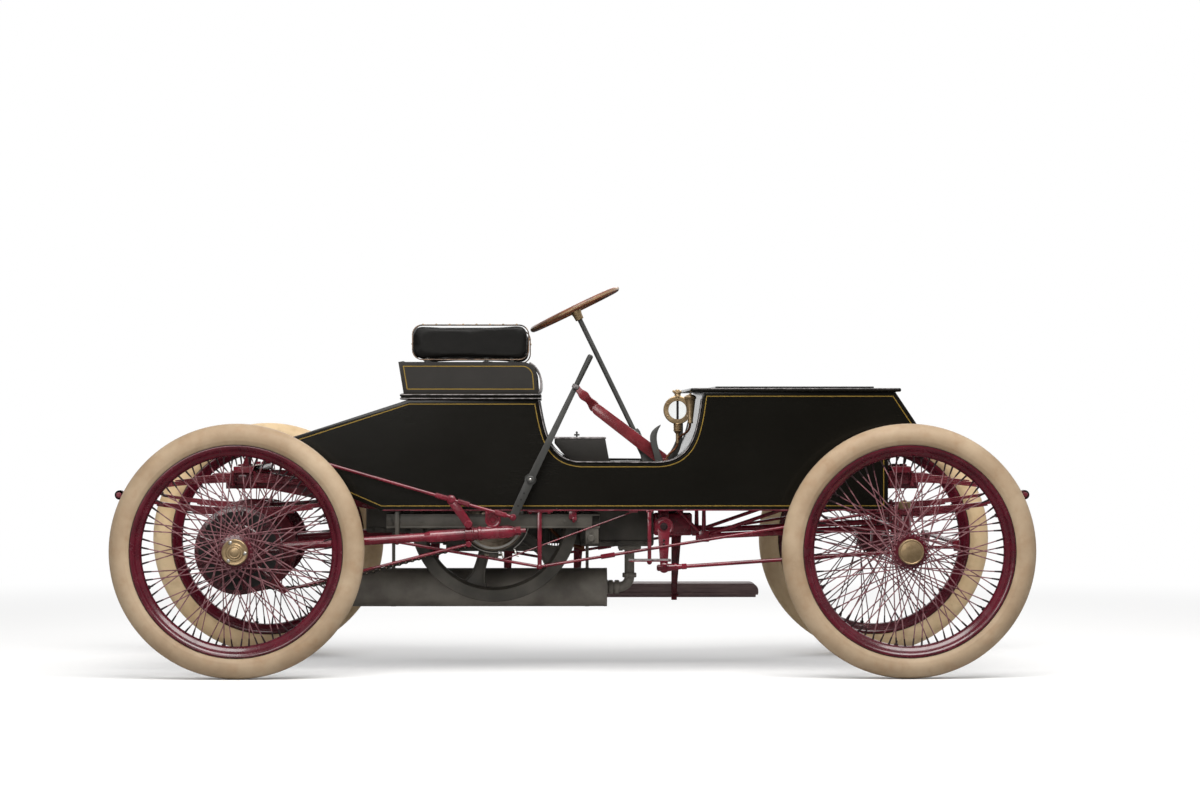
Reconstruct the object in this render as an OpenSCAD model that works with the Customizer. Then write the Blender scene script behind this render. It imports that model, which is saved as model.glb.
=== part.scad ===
// Early chain-driven racing car with a boxed wooden body, wire wheels and elliptic springs.
// Frame: +X forward, +Y to the car's left, +Z up, origin on the ground at mid-wheelbase.

/* [Wheels and axles] */
// Distance between the front and rear axle centres
wheelbase = 2438; // [2030:1:2930]
// Distance between the left and right wheel planes
track = 1422; // [1300:1:1710]
// Outer radius of a tyre, which is also the hub height
tyre_r = 463; // [386:1:480]
// Diameter of a tyre's round section
tyre_section = 92; // [76:1:104]
// Depth of the rim from the tyre's seat to its inner edge
rim_depth = 34; // [26:1:42]
// Number of spokes in a wheel of the plain model
spoke_count = 24; // [12:2:36]
// Radius of a spoke
spoke_r = 3; // [2:0.5:4]
// Radius of a hub's spoke flange
flange_r = 63; // [52:1:76]
// Distance between a hub's two flanges
flange_gap = 96; // [80:1:110]
// Radius of the stub axle that a hub turns on
spindle_r = 16; // [13:0.5:19]
// Distance from a wheel plane out to the end of its hub cap
cap_reach = 98; // [85:1:110]
// Outer radius of the brake drum behind a rear wheel
brake_drum_r = 162; // [135:1:195]
// Depth of the brake drum behind a rear wheel
brake_drum_w = 42; // [35:1:44]

/* [Springs] */
// Half of an elliptic spring's span between its eyes
spring_half = 460; // [380:1:480]
// Rise of one half of a spring at its middle
spring_camber = 46; // [40:1:56]
// Thickness of a half spring's leaves at its middle
spring_pack = 36; // [28:1:42]
// Width of a spring leaf
leaf_w = 45; // [36:1:50]
// Radius of a spring eye
eye_r = 18; // [15:1:21]
// Distance from the inside of the body side in to a spring's middle
spring_inset = 38; // [34:1:42]

/* [Body] */
// Width over the body sides
body_w = 920; // [900:1:1110]
// Thickness of the body's wooden sides
side_t = 22; // [16:1:24]
// Thickness of the inner panels
panel_t = 12; // [9:1:14]
// Height of the body's bottom edge above the hub centres
body_rise = 142; // [140:1:160]
// Depth of the body side under the entrance
sill_h = 177; // [170:1:212]
// Height of the seat deck above the body's bottom edge
seat_deck_h = 409; // [380:1:440]
// Height of the front box above the body's bottom edge
box_h = 438; // [420:1:480]
// Station of the seat's front edge
seat_front_x = -125; // [-135:1:-115]
// Length of the seat deck
seat_len = 506; // [460:1:560]
// Station of the front box's rear edge
box_rear_x = 481; // [470:1:520]
// How far the nose leads the front axle
nose_lead = 82; // [60:1:100]
// Thickness of the front box's lid
lid_t = 14; // [10:1:18]
// Overhang of the lid past the body side
lid_lip = 12; // [8:1:16]
// Distance from the sill down to the floor
floor_drop = 12; // [12:1:20]
// Thickness of the floor boards
floor_t = 18; // [14:1:20]

/* [Seat] */
// Height of the seat's side boards
riser_h = 117; // [100:1:140]
// Thickness of the seat's side boards
riser_t = 18; // [14:1:22]
// Height of the padded rail around the seat
pad_h = 131; // [110:1:150]
// Thickness of the padded rail
pad_t = 60; // [46:1:64]
// Height of the irons that carry the padded rail
foot_h = 7; // [5:0.5:9]

/* [Frame] */
// Height of a frame rail's section
rail_h = 60; // [50:1:62]
// Width of a frame rail's section
rail_w = 40; // [32:1:42]
// Distance from a spring's middle in to a rail's middle
rail_inset = 65; // [60:1:68]
// Thickness of the spring perch bars
perch_t = 24; // [20:1:28]

/* [Engine and drive] */
// Station of the crankshaft
crank_x = -294; // [-300:1:-290]
// Height of the crankshaft above the hub centres
crank_rise = 109; // [105:1:112]
// Outer radius of the flywheel
flywheel_r = 317; // [264:1:318]
// Width of the flywheel's rim
flywheel_w = 80; // [66:1:84]
// Radius of the crankshaft
shaft_r = 24; // [20:0.5:26]
// Radius of the transmission drum
drum_r = 118; // [98:1:120]
// Radius of the chain's path on the front sprocket
front_sprocket_r = 92; // [77:1:100]
// Radius of the chain's path on the rear sprocket
rear_sprocket_r = 135; // [112:1:150]
// Radius of the drum around the differential
gear_drum_r = 176; // [146:1:180]
// Width of the chain
chain_w = 25; // [20:1:28]
// Length of the muffler
muffler_len = 1002; // [835:1:1060]
// Radius of the muffler
muffler_r = 74; // [62:1:78]
// Radius of the bore of the muffler's outlet
outlet_r = 22; // [18:0.5:26]

/* [Steering] */
// Distance from a wheel plane in to its kingpin
kingpin_inset = 166; // [160:1:175]
// Radius of a kingpin
kingpin_r = 13; // [11:0.5:15]
// Length of the arm that carries the tie rod
tie_arm = 190; // [160:1:210]
// Length of the arm that carries the drag link
link_arm = 110; // [92:1:112]
// Distance from the body side's face in to the ball at the foot of the drop arm
link_inset = 25; // [20:1:40]
// Length of the drop arm
drop_len = 153; // [128:1:170]
// Diameter of the steering wheel
steer_d = 370; // [310:1:440]
// Slope of the steering column from upright, in degrees
column_tilt = 26; // [25:0.5:27]
// Radius of the steering shaft
column_r = 9.5; // [8:0.5:11]

/* [Hidden] */
$fn = 48;

fit = 0.05;                 // radial clearance of a shaft in its bore
seat_gap = 0.3;             // clearance between curved faces that lie together
axle_x = wheelbase / 2;
wheel_y = track / 2;
hub_z = tyre_r;
body_y = body_w / 2;
inner_y = body_y - side_t;
spring_y = inner_y - spring_inset;
rail_y = spring_y - rail_inset;
bottom_z = hub_z + body_rise;
sill_z = bottom_z + sill_h;
deck_z = bottom_z + seat_deck_h;
box_z = bottom_z + box_h;
floor_z = sill_z - floor_drop;
nose_x = axle_x + nose_lead;
tail_x = -axle_x + 14;
seat_rear_x = seat_front_x - seat_len;

// Points on a circle about c, from angle a to angle b
function arc(c, r, a, b, n = 12) =
    [for (i = [0:n]) let (t = a + (b - a) * i / n) [c[0] + r * cos(t), c[1] + r * sin(t)]];
// Points on a cubic curve
function curve(p, q, r, s, n = 12) =
    [for (i = [0:n]) let (t = i / n, u = 1 - t)
        u*u*u * p + 3*u*u*t * q + 3*u*t*t * r + t*t*t * s];
function backwards(pts) = [for (i = [len(pts) - 1:-1:0]) pts[i]];
// Unit normal of a line of points at one of them
function normal_at(pts, i) =
    let (a = pts[max(i - 1, 0)], b = pts[min(i + 1, len(pts) - 1)], d = b - a) [-d[1], d[0]] / norm(d);
function shifted(pts, t) = [for (i = [0:len(pts) - 1]) pts[i] + t * normal_at(pts, i)];

// A solid with an outline in X and Z, between two stations across the car
module slab(y0, y1) translate([0, y1, 0]) rotate([90, 0, 0]) linear_extrude(y1 - y0) children();
// A bent sheet along a line of points, thickened to its left
module ribbon(pts, t) polygon(concat(pts, backwards(shifted(pts, t))));
// A round bar between two points
module rod(p, q, r) {
    d = q - p;
    translate(p) rotate([0, acos(d[2] / norm(d)), atan2(d[1], d[0])]) cylinder(h = norm(d), r = r);
}
// A round boss across the car
module boss(x, z, y0, y1, r) translate([x, y1, z]) rotate([90, 0, 0]) cylinder(h = y1 - y0, r = r);
module block(x0, x1, y0, y1, z0, z1) translate([x0, y0, z0]) cube([x1 - x0, y1 - y0, z1 - z0]);
// A shape and its mirror image on the other side of the car
module both() {
    children();
    mirror([0, 1, 0]) children();
}

// ---- body ----
rear_entry = curve([seat_front_x - 2, deck_z], [-104, sill_z + 100], [-90, sill_z + 6], [34, sill_z]);
front_entry = curve([box_rear_x - 165, sill_z], [box_rear_x - 34, sill_z + 6],
                    [box_rear_x - 20, sill_z + 110], [box_rear_x, box_z]);
tail_top = [tail_x, bottom_z + 216];
tail_rise = [-711, bottom_z];
nose_top = [nose_x - 107, box_z];
nose_tip = [nose_x, bottom_z + 278];
nose_under = [axle_x - 52, bottom_z + 190];

module side_outline() polygon(concat(
    [tail_rise, tail_top, [seat_rear_x + 22, deck_z]], rear_entry, front_entry,
    [nose_top, nose_tip, nose_under, [nose_under[0], bottom_z]]));
module body_side_right() color([0.07, 0.065, 0.06]) slab(-body_y, -inner_y) side_outline();
module body_side_left() color([0.07, 0.065, 0.06]) slab(inner_y, body_y) side_outline();

lever_slot = 34;            // half size of the floor's opening around the column
column_low = [416, -220, bottom_z - 85];
column_dir = [-sin(column_tilt), 0, cos(column_tilt)];
function on_column(z) = column_low + column_dir * (z - column_low[2]) / column_dir[2];
floor_front_x = axle_x - 70;
floor_rear_x = -6;
module floor_board() color([0.16, 0.13, 0.1]) difference() {
    block(floor_rear_x, floor_front_x, -inner_y, inner_y, floor_z - floor_t, floor_z);
    translate([on_column(floor_z)[0], column_low[1], floor_z])
        cube([2 * lever_slot, 2 * lever_slot, 3 * floor_t], center = true);
}
module tail_deck() color([0.08, 0.075, 0.07]) slab(-inner_y, inner_y)
    ribbon([[seat_rear_x + 22, deck_z], tail_top], panel_t);
dash_foot = box_rear_x - 107;
module curved_panels() color([0.06, 0.06, 0.06]) slab(-inner_y, inner_y) {
    ribbon(backwards([for (i = [0:9]) rear_entry[i]]), panel_t);
    ribbon(concat(backwards([for (i = [3:12]) front_entry[i]]), [[dash_foot, floor_z + panel_t * 0.6]]),
           panel_t);
}
module nose_panel() color([0.07, 0.065, 0.06]) slab(-inner_y, inner_y)
    ribbon([[floor_front_x, floor_z], nose_under, nose_tip, nose_top], panel_t);

lid_z = box_z + seat_gap;
lid_rear_x = box_rear_x - 46;
lid_front_x = nose_top[0] + 21;
module bonnet_lid() color([0.08, 0.08, 0.08]) {
    block(lid_rear_x, lid_front_x, -body_y - lid_lip, body_y + lid_lip, lid_z, lid_z + lid_t);
    block(lid_rear_x + 95, lid_front_x - 95, -body_y + 60, body_y - 60, lid_z + lid_t, lid_z + lid_t + 7);
}

// ---- seat ----
deck_t = 23;
riser_z = deck_z + deck_t;
riser_top = riser_z + riser_h;
riser_y = body_y - 12;
riser_rear = -riser_h / 6;  // the seat's back board leans back by this
module seat_moulding()
    block(seat_rear_x, seat_front_x + 4, -body_y - lid_lip, body_y + lid_lip, deck_z, riser_z);
module riser_outline() polygon(concat(
    [[seat_rear_x + 4, riser_z], [seat_rear_x + 4 + riser_rear, riser_top]],
    arc([seat_front_x - 62, riser_top - 55], 55, 90, 0, 8), [[seat_front_x - 2, riser_z]]));
module seat_riser() difference() {
    slab(-riser_y, riser_y) riser_outline();
    block(seat_rear_x + 4 + riser_t, seat_front_x - 2 * riser_t - 8, -riser_y + riser_t, riser_y - riser_t,
          riser_z, riser_top + 10);
}
module seat_cushion() color([0.08, 0.08, 0.08])
    block(seat_rear_x + 5 + riser_t, seat_front_x - 2 * riser_t - 9,
          -riser_y + riser_t + 1, riser_y - riser_t - 1, riser_z + seat_gap, riser_top - 8);

pad_rear_x = seat_rear_x + 36;
pad_front_x = seat_front_x - 37;
pad_z = riser_top + foot_h;
pad_y = riser_y - riser_t / 2 + 20;
pad_corner = 37;
module arm_outline() polygon(concat(
    arc([pad_front_x - pad_corner, pad_z + pad_corner], pad_corner, -90, 0, 8),
    arc([pad_front_x - pad_corner, pad_z + pad_h - pad_corner], pad_corner, 0, 90, 8),
    arc([pad_rear_x + pad_corner, pad_z + pad_h - pad_corner], pad_corner, 90, 180, 8),
    [[pad_rear_x, pad_z]]));
module seat_rail_pad() color([0.07, 0.07, 0.07]) union() {
    both() slab(pad_y - pad_t, pad_y) arm_outline();
    slab(-pad_y + pad_t / 2, pad_y - pad_t / 2) intersection() {
        arm_outline();
        translate([pad_rear_x, pad_z]) square([pad_t, pad_h]);
    }
}
module seat_rail_feet() both()
    for (x = [pad_front_x - 64, pad_front_x - 158, pad_front_x - 375])
        translate([x, riser_y - riser_t / 2, riser_top - 1]) cylinder(h = foot_h + 1, r = 8);
module seat_box() color([0.2, 0.19, 0.18]) union() {
    seat_moulding();
    seat_riser();
    seat_rail_feet();
}

// ---- frame ----
spring_eye_z = hub_z + 198;
spring_top_z = spring_eye_z + spring_camber + spring_pack;
spring_foot_z = spring_eye_z - spring_camber - spring_pack;
rail_end = axle_x + 72;
module rail_outline() polygon([
    [-rail_end, spring_top_z], [-axle_x + 90, spring_top_z], [-745, bottom_z + 2 + rail_h],
    [axle_x - 215, bottom_z + 2 + rail_h], [axle_x - 110, spring_top_z], [rail_end, spring_top_z],
    [rail_end, spring_top_z - rail_h], [axle_x - 95, spring_top_z - rail_h],
    [axle_x - 200, bottom_z + 2], [-760, bottom_z + 2],
    [-axle_x + 75, spring_top_z - rail_h], [-rail_end, spring_top_z - rail_h]]);
outrigger_x = [-650, 60, 690];
module frame_rails() color([0.45, 0.08, 0.16]) both() union() {
    slab(rail_y - rail_w / 2, rail_y + rail_w / 2) rail_outline();
    for (x = outrigger_x)
        block(x, x + 36, rail_y, inner_y, bottom_z + 10, bottom_z + 50);
}

cross_x = 520;
perch_half = 35;
function tail_edge(x) =
    tail_top[1] + (x - tail_top[0]) * (tail_rise[1] - tail_top[1]) / (tail_rise[0] - tail_top[0]);
module spring_perches() color([0.45, 0.08, 0.16]) {
    for (s = [-1, 1]) block(s * axle_x - perch_half, s * axle_x + perch_half, -body_y, body_y,
                            spring_top_z, spring_top_z + perch_t);
    both() slab(inner_y, body_y) polygon([
        [-axle_x - 4, spring_top_z + perch_t], [-axle_x + 30, spring_top_z + perch_t],
        [-axle_x + 30, tail_edge(-axle_x + 30)], [tail_x + 1, tail_edge(tail_x + 1)]]);
    block(cross_x, cross_x + 40, -rail_y + rail_w / 2, rail_y - rail_w / 2, bottom_z + 10, bottom_z + 50);
}

crank_z = hub_z + crank_rise;
channel_z0 = bottom_z - 67;
channel_z1 = bottom_z - 15;
engine_y = 140;
stub_x = -160;              // station of the radius rods' front pivots
stub_z = hub_z + 70;
rod_y = body_y + 40;        // distance from the centre line to a rear radius rod
module subframe() color([0.22, 0.21, 0.2]) difference() {
    union() {
        both() {
            block(-690, 100, rail_y - rail_w / 2, rail_y + rail_w / 2, channel_z0, channel_z1);
            for (x = [-680, 50])
                block(x, x + 40, engine_y, rail_y, channel_z1 - 30, channel_z1);
            for (x = [-670, 40])
                block(x, x + 36, rail_y - rail_w / 2, rail_y + rail_w / 2, channel_z1, bottom_z + 2);
            boss(stub_x, stub_z, rail_y, rod_y - 22, 16);
        }
        block(-690, 100, -inner_y, -inner_y + 4, channel_z0, channel_z1);
        for (x = [-690, 70])
            block(x, x + 30, -inner_y, -rail_y, channel_z0, channel_z1);
        boss(crank_x, crank_z, -rail_y - rail_w / 2 - 4, -rail_y + rail_w / 2 + 4, shaft_r + 9);
    }
    boss(crank_x, crank_z, -inner_y - rail_w, -rail_y + rail_w, shaft_r + 0.2);
}

// ---- engine and drive ----
chain_y = -rail_y + rail_w / 2 + 20;
flywheel_y = chain_y + chain_w + 20;
shaft_end = -rod_y;
module engine() color([0.21, 0.2, 0.19]) union() {
    block(crank_x - 186, crank_x + 184, -engine_y, engine_y, crank_z - 132, crank_z + 118);
    block(crank_x - 489, crank_x - 266, -engine_y + 10, engine_y - 10, crank_z - 62, crank_z + 100);
    block(crank_x + 319, crank_x + 604, -engine_y + 10, engine_y - 10, crank_z - 114, crank_z + 100);
    rod([crank_x - 300, 0, crank_z], [crank_x + 400, 0, crank_z], 108);
    boss(crank_x, crank_z, shaft_end, 0, shaft_r);
    boss(crank_x, crank_z, shaft_end - 18, shaft_end, shaft_r + 2);
}
fly_spokes = 5;
fly_turn = 38;              // the first spoke's angle at rest
module flywheel() color([0.2, 0.19, 0.18]) translate([crank_x, flywheel_y + flywheel_w / 2, crank_z])
    rotate([90, 0, 0]) difference() {
        union() {
            difference() {
                cylinder(h = flywheel_w, r = flywheel_r, center = true, $fn = 96);
                cylinder(h = flywheel_w + 2, r = flywheel_r - 52, center = true, $fn = 96);
            }
            cylinder(h = flywheel_w, r = 62, center = true);
            for (i = [0:fly_spokes - 1]) rotate(fly_turn + i * 360 / fly_spokes)
                translate([(flywheel_r - 10) / 2, 0, 0])
                    cube([flywheel_r - 50, 56, 26], center = true);
        }
        cylinder(h = flywheel_w + 2, r = shaft_r + fit, center = true);
    }
drum_y = -inner_y + 20;
module transmission_drum() color([0.45, 0.42, 0.38]) difference() {
    union() {
        boss(crank_x, crank_z, drum_y, drum_y + 56, drum_r);
        boss(crank_x, crank_z, drum_y - 14, drum_y, 52);
        boss(crank_x, crank_z, chain_y + 4, chain_y + chain_w - 4, front_sprocket_r);
        boss(crank_x, crank_z, chain_y, chain_y + chain_w, 40);
    }
    boss(crank_x, crank_z, drum_y - 40, chain_y + 60, shaft_r + 0.2);
}

// The chain's loop: round the front sprocket, slack along the bottom, round the rear sprocket
function chain_line(grow) =
    let (f = [crank_x, crank_z], r = [-axle_x, hub_z],
         d = f - r, fr = front_sprocket_r + grow, rr = rear_sprocket_r + grow,
         lean = atan2(d[1], d[0]), open = acos((rr - fr) / norm(d)),
         top = lean + open, low_front = -60, low_rear = -100,
         p = f + fr * [cos(low_front - 40), sin(low_front - 40)],
         q = r + rr * [cos(low_rear), sin(low_rear)],
         reach = norm(d) / 3)
    concat(arc(f, fr, top, low_front - 40, 18),
           curve(p, p - [reach, 30], q + [reach, -62], q, 16),
           arc(r, rr, low_rear, top - 360, 18));
module drive_chain() color([0.2, 0.18, 0.16]) slab(chain_y, chain_y + chain_w) difference() {
    polygon(chain_line(16));
    polygon(chain_line(3 * seat_gap));
}

muffler_x = 133;
muffler_z = hub_z - 164;
pipe_x = 219;
pipe_r = 21;
module exhaust() color([0.2, 0.195, 0.185]) difference() {
    union() {
        exhaust_pipe();
        rod([muffler_x - muffler_len, 0, muffler_z], [muffler_x, 0, muffler_z], muffler_r);
        rod([muffler_x - muffler_len - 70, 0, muffler_z], [muffler_x - muffler_len + 10, 0, muffler_z],
            outlet_r + 4);
        block(40, 74, -6, 6, muffler_z + muffler_r - 6, crank_z - 114);
        block(-700, -666, -6, 6, muffler_z + muffler_r - 6, crank_z - 62);
    }
    rod([muffler_x - muffler_len - 80, 0, muffler_z], [muffler_x - muffler_len - 10, 0, muffler_z], outlet_r);
}
module exhaust_pipe() {
    rod([pipe_x, 0, muffler_z + 40], [pipe_x, 0, crank_z - 114], pipe_r);
    translate([pipe_x - 40, 0, muffler_z + 40]) rotate([90, 0, 0])
        rotate_extrude(angle = -90) translate([40, 0]) circle(r = pipe_r);
    rod([muffler_x - 10, 0, muffler_z], [pipe_x - 40, 0, muffler_z], pipe_r);
}

// ---- axles and springs ----
axle_r = 30;
bearing_r = 46;
axle_end = wheel_y - flange_gap / 2 - 24;
spindle_end = wheel_y + 62;
module rear_axle() color([0.42, 0.1, 0.17]) union() {
    boss(-axle_x, hub_z, -axle_end, axle_end, axle_r);
    boss(-axle_x, hub_z, -spindle_end, spindle_end, spindle_r);
    both() {
        boss(-axle_x, hub_z, spring_y - leaf_w / 2 - 8, spring_y + leaf_w / 2 + 8, bearing_r);
        block(-axle_x - 40, -axle_x + 40, spring_y - leaf_w / 2, spring_y + leaf_w / 2,
              hub_z + 20, spring_foot_z);
    }
    differential();
}
gear_y = chain_y + chain_w;
module differential() {
    boss(-axle_x, hub_z, chain_y + 4, gear_y - 4, rear_sprocket_r);
    boss(-axle_x, hub_z, gear_y - 5, gear_y + 90, 112);
    boss(-axle_x, hub_z, chain_y - 10, gear_y + 140, 60);
    boss(-axle_x, hub_z, gear_y + 130, gear_y + 215, gear_drum_r);
}
module rear_radius_rod() difference() {
    union() {
        for (part = [[-axle_x, 15], [-547, 17.5], [-349, 20]])
            rod([part[0], rod_y, stub_z - 70 * (part[0] - stub_x) / (-axle_x - stub_x)],
                [stub_x, rod_y, stub_z], part[1]);
        boss(-axle_x, hub_z, rod_y - 22, rod_y + 22, axle_r + 14);
        boss(stub_x, stub_z, rod_y - 22, rod_y + 22, 27);
    }
    boss(-axle_x, hub_z, rod_y - 40, rod_y + 40, axle_r + 0.2);
}

beam_z = hub_z + 77;
beam_r = 22;
head_r = 25;
kingpin_y = wheel_y - kingpin_inset;
head_low = hub_z + 37;
head_top = hub_z + 122;
module front_axle() color([0.42, 0.1, 0.17]) difference() {
    union() {
        boss(axle_x, beam_z, -kingpin_y, kingpin_y, beam_r);
        both() {
            translate([axle_x, kingpin_y, head_low]) cylinder(h = head_top - head_low, r = head_r);
            block(axle_x - 36, axle_x + 36, spring_y - leaf_w / 2, spring_y + leaf_w / 2,
                  beam_z, spring_foot_z);
        }
    }
    both() translate([axle_x, kingpin_y, head_low - 5])
        cylinder(h = head_top - head_low + 10, r = kingpin_r + fit);
}
hanger_x = 490;
hanger_z = hub_z + 41;
module front_radius_rod() difference() {
    union() {
        rod([hanger_x, rail_y, hanger_z], [axle_x, rail_y, beam_z], 12);
        boss(axle_x, beam_z, rail_y - 20, rail_y + 20, beam_r + 12);
        block(hanger_x - 20, hanger_x + 20, rail_y - 18, rail_y + 18, hanger_z - 20, hanger_z + 22);
        rod([hanger_x, rail_y, hanger_z], [hanger_x, rail_y, bottom_z + 2], 9);
        rod([hanger_x, rail_y, hanger_z], [hanger_x + 280, rail_y, bottom_z - 9], 8);
        block(hanger_x + 262, hanger_x + 298, rail_y - 12, rail_y + 12, bottom_z - 10, bottom_z + 2);
    }
    boss(axle_x, beam_z, rail_y - 40, rail_y + 40, beam_r + 0.2);
}
module radius_rods() color([0.5, 0.12, 0.2]) both() {
    rear_radius_rod();
    front_radius_rod();
}

// Half of an elliptic spring: one long leaf under a pack that thins towards the eyes
module spring_half_outline() {
    leaf = 8;
    samples = [for (i = [-12:12]) i / 12];
    polygon(concat(
        [for (u = samples) [u * spring_half, spring_camber * (1 - u * u)]],
        [for (u = backwards(samples))
            [u * spring_half, spring_camber * (1 - u * u) + leaf + (spring_pack - leaf) * (1 - abs(u))]]));
}
module spring(x) translate([x, spring_y, spring_eye_z]) slab(-leaf_w / 2, leaf_w / 2) union() {
    spring_half_outline();
    mirror([0, 1]) spring_half_outline();
    for (s = [-1, 1]) translate([s * spring_half, 0]) circle(r = eye_r);
}
module front_springs() color([0.42, 0.1, 0.17]) both() spring(axle_x);
module rear_springs() color([0.42, 0.1, 0.17]) both() spring(-axle_x);

// ---- steering ----
arm_z = hub_z + 14;
arm_t = 12;
pin_r = 6;
ball_y = kingpin_y - link_arm;
module knuckle(side) color([0.42, 0.1, 0.17]) mirror([0, side > 0 ? 0 : 1, 0]) union() {
    translate([axle_x, kingpin_y, hub_z - 26]) cylinder(h = head_low - 3 - hub_z + 26, r = 28);
    translate([axle_x, kingpin_y, hub_z]) cylinder(h = head_top + 14 - hub_z, r = kingpin_r);
    translate([axle_x, kingpin_y, head_top + 5]) cylinder(h = 30, r = head_r - 2);
    translate([axle_x, kingpin_y, head_top + 35]) cylinder(h = 14, r1 = head_r - 2, r2 = 12);
    boss(axle_x, hub_z, kingpin_y, spindle_end, spindle_r);
    boss(axle_x, hub_z, kingpin_y + 20, axle_end - 4, spindle_r + 8);
    block(axle_x, axle_x + tie_arm, kingpin_y - 12, kingpin_y + 12, arm_z - arm_t, arm_z);
    translate([axle_x + tie_arm, kingpin_y, arm_z - arm_t]) cylinder(h = arm_t, r = 15);
    translate([axle_x + tie_arm, kingpin_y, arm_z]) cylinder(h = 22, r = pin_r);
}
link_z = hub_z - 16;
module knuckle_right() color([0.42, 0.1, 0.17]) union() {
    knuckle(-1);
    block(axle_x - 12, axle_x + 12, -kingpin_y, -ball_y, link_z - 18, link_z - 6);
    translate([axle_x, -ball_y, link_z - 18]) cylinder(h = 12, r = 14);
    translate([axle_x, -ball_y, link_z - 8]) cylinder(h = 26, r = pin_r);
}
module knuckle_left() knuckle(1);
module tie_rod() color([0.42, 0.1, 0.17]) difference() {
    union() {
        rod([axle_x + tie_arm, -kingpin_y, arm_z + 11], [axle_x + tie_arm, kingpin_y, arm_z + 11], 9);
        both() translate([axle_x + tie_arm, kingpin_y, arm_z + 1]) cylinder(h = 20, r = 15);
    }
    translate([axle_x + tie_arm, -kingpin_y, arm_z - 5]) cylinder(h = 40, r = pin_r + fit);
    translate([axle_x + tie_arm, kingpin_y, arm_z - 5]) cylinder(h = 40, r = pin_r + 1.5);
}
drop_x = 338;
drop_z = hub_z + 81;
drop_end_z = drop_z - drop_len;
drop_ball_y = body_y - link_inset;
drop_y0 = -drop_ball_y + 12;
module drag_link() color([0.42, 0.1, 0.17]) difference() {
    union() {
        rod([axle_x, -ball_y, link_z + 4], [drop_x, -drop_ball_y, drop_end_z], 7);
        translate([axle_x, -ball_y, link_z - 5]) cylinder(h = 18, r = 14);
        boss(drop_x, drop_end_z, -drop_ball_y - 9, -drop_ball_y + 4, 15);
    }
    translate([axle_x, -ball_y, link_z - 20]) cylinder(h = 60, r = pin_r + fit);
}
module drop_arm() color([0.4, 0.1, 0.16]) difference() {
    union() {
        boss(drop_x, drop_z, drop_y0, drop_y0 + 26, 36);
        slab(drop_y0, drop_y0 + 14) polygon([
            [drop_x - 22, drop_z], [drop_x + 22, drop_z],
            [drop_x + 12, drop_end_z], [drop_x - 12, drop_end_z]]);
        boss(drop_x, drop_end_z, drop_y0, drop_y0 + 14, 14);
    }
    boss(drop_x, drop_z, drop_y0 - 10, drop_y0 + 40, 14 + fit);
}
box_y0 = column_low[1] - 42;
box_y1 = column_low[1] + 42;
bracket_y = box_y0 - 73;    // the iron that hangs the steering box from a rail
jacket_top = on_column(sill_z + 119);
module steering_box() color([0.42, 0.1, 0.17]) difference() {
    union() {
        block(drop_x - 34, column_low[0] + 34, box_y0, box_y1, drop_z - 40, drop_z + 46);
        boss(drop_x, drop_z, drop_y0 + 31, box_y0 + 10, 24);
        boss(drop_x, drop_z, drop_y0 - 4, box_y0 + 10, 14);
        block(drop_x - 20, drop_x + 20, bracket_y - 12, bracket_y + 12, drop_z + 10, bottom_z + 2);
        block(drop_x - 20, drop_x + 20, min(bracket_y, -rail_y) - 12, max(bracket_y, -rail_y) + 12,
              bottom_z - 8, bottom_z + 2);
        rod(column_low, jacket_top, 14);
    }
    rod(on_column(bottom_z + 10), jacket_top + column_dir * 40, column_r + fit);
}
wheel_hub = on_column(bottom_z + 740);
rim_r = 12;
module steering_wheel() color([0.45, 0.27, 0.18]) union() {
    rod(on_column(bottom_z + 20), wheel_hub, column_r);
    translate(wheel_hub) rotate([0, -column_tilt, 0]) {
        translate([0, 0, -30]) cylinder(h = 42, r = 19);
        translate([0, 0, 12]) rotate_extrude($fn = 96) translate([steer_d / 2 - rim_r, 0]) circle(r = rim_r);
        for (a = [45:90:315]) rotate(a) translate([12, -9, 4]) cube([steer_d / 2 - rim_r - 14, 18, 6]);
    }
}

// ---- wheels ----
rim_out = tyre_r - tyre_section + 7;
hub_half = flange_gap / 2 + 14;
module wheel() {
    color([0.4, 0.08, 0.16]) union() {
        rotate_extrude($fn = 96) polygon([
            [rim_out, -36], [rim_out + 7, -36], [rim_out + 7, -31], [rim_out, -28], [rim_out, 28],
            [rim_out + 7, 31], [rim_out + 7, 36], [rim_out, 36],
            [rim_out - rim_depth * 0.6, 26], [rim_out - rim_depth, 10],
            [rim_out - rim_depth, -10], [rim_out - rim_depth * 0.6, -26]]);
        difference() {
            union() {
                translate([0, 0, -hub_half]) cylinder(h = 2 * hub_half, r = 34);
                for (s = [-1, 1]) translate([0, 0, s * flange_gap / 2])
                    cylinder(h = 8, r = flange_r, center = true);
                translate([0, 0, hub_half - 2]) cylinder(h = cap_reach - hub_half - 10, r = 46);
                translate([0, 0, cap_reach - 14]) cylinder(h = 14, r1 = 42, r2 = 30);
            }
            translate([0, 0, -hub_half - 1]) cylinder(h = hub_half + 70, r = spindle_r + fit);
        }
        for (i = [0:spoke_count - 1]) rotate(i * 360 / spoke_count)
            rod([flange_r - 12, 0, (i % 2 == 0 ? 1 : -1) * flange_gap / 2],
                [rim_out - rim_depth + 4, 0, 0], spoke_r);
    }
}
drum_wall = 8;
module brake_drum() color([0.36, 0.08, 0.14]) difference() {
    translate([0, 0, -hub_half - brake_drum_w]) cylinder(h = brake_drum_w + 2, r = brake_drum_r, $fn = 96);
    translate([0, 0, -hub_half - brake_drum_w - 1])
        cylinder(h = brake_drum_w - drum_wall + 1, r = brake_drum_r - drum_wall, $fn = 96);
    translate([0, 0, -hub_half - brake_drum_w]) cylinder(h = brake_drum_w + 10, r = spindle_r + fit);
}
module rear_wheel() union() {
    wheel();
    brake_drum();
}
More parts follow.
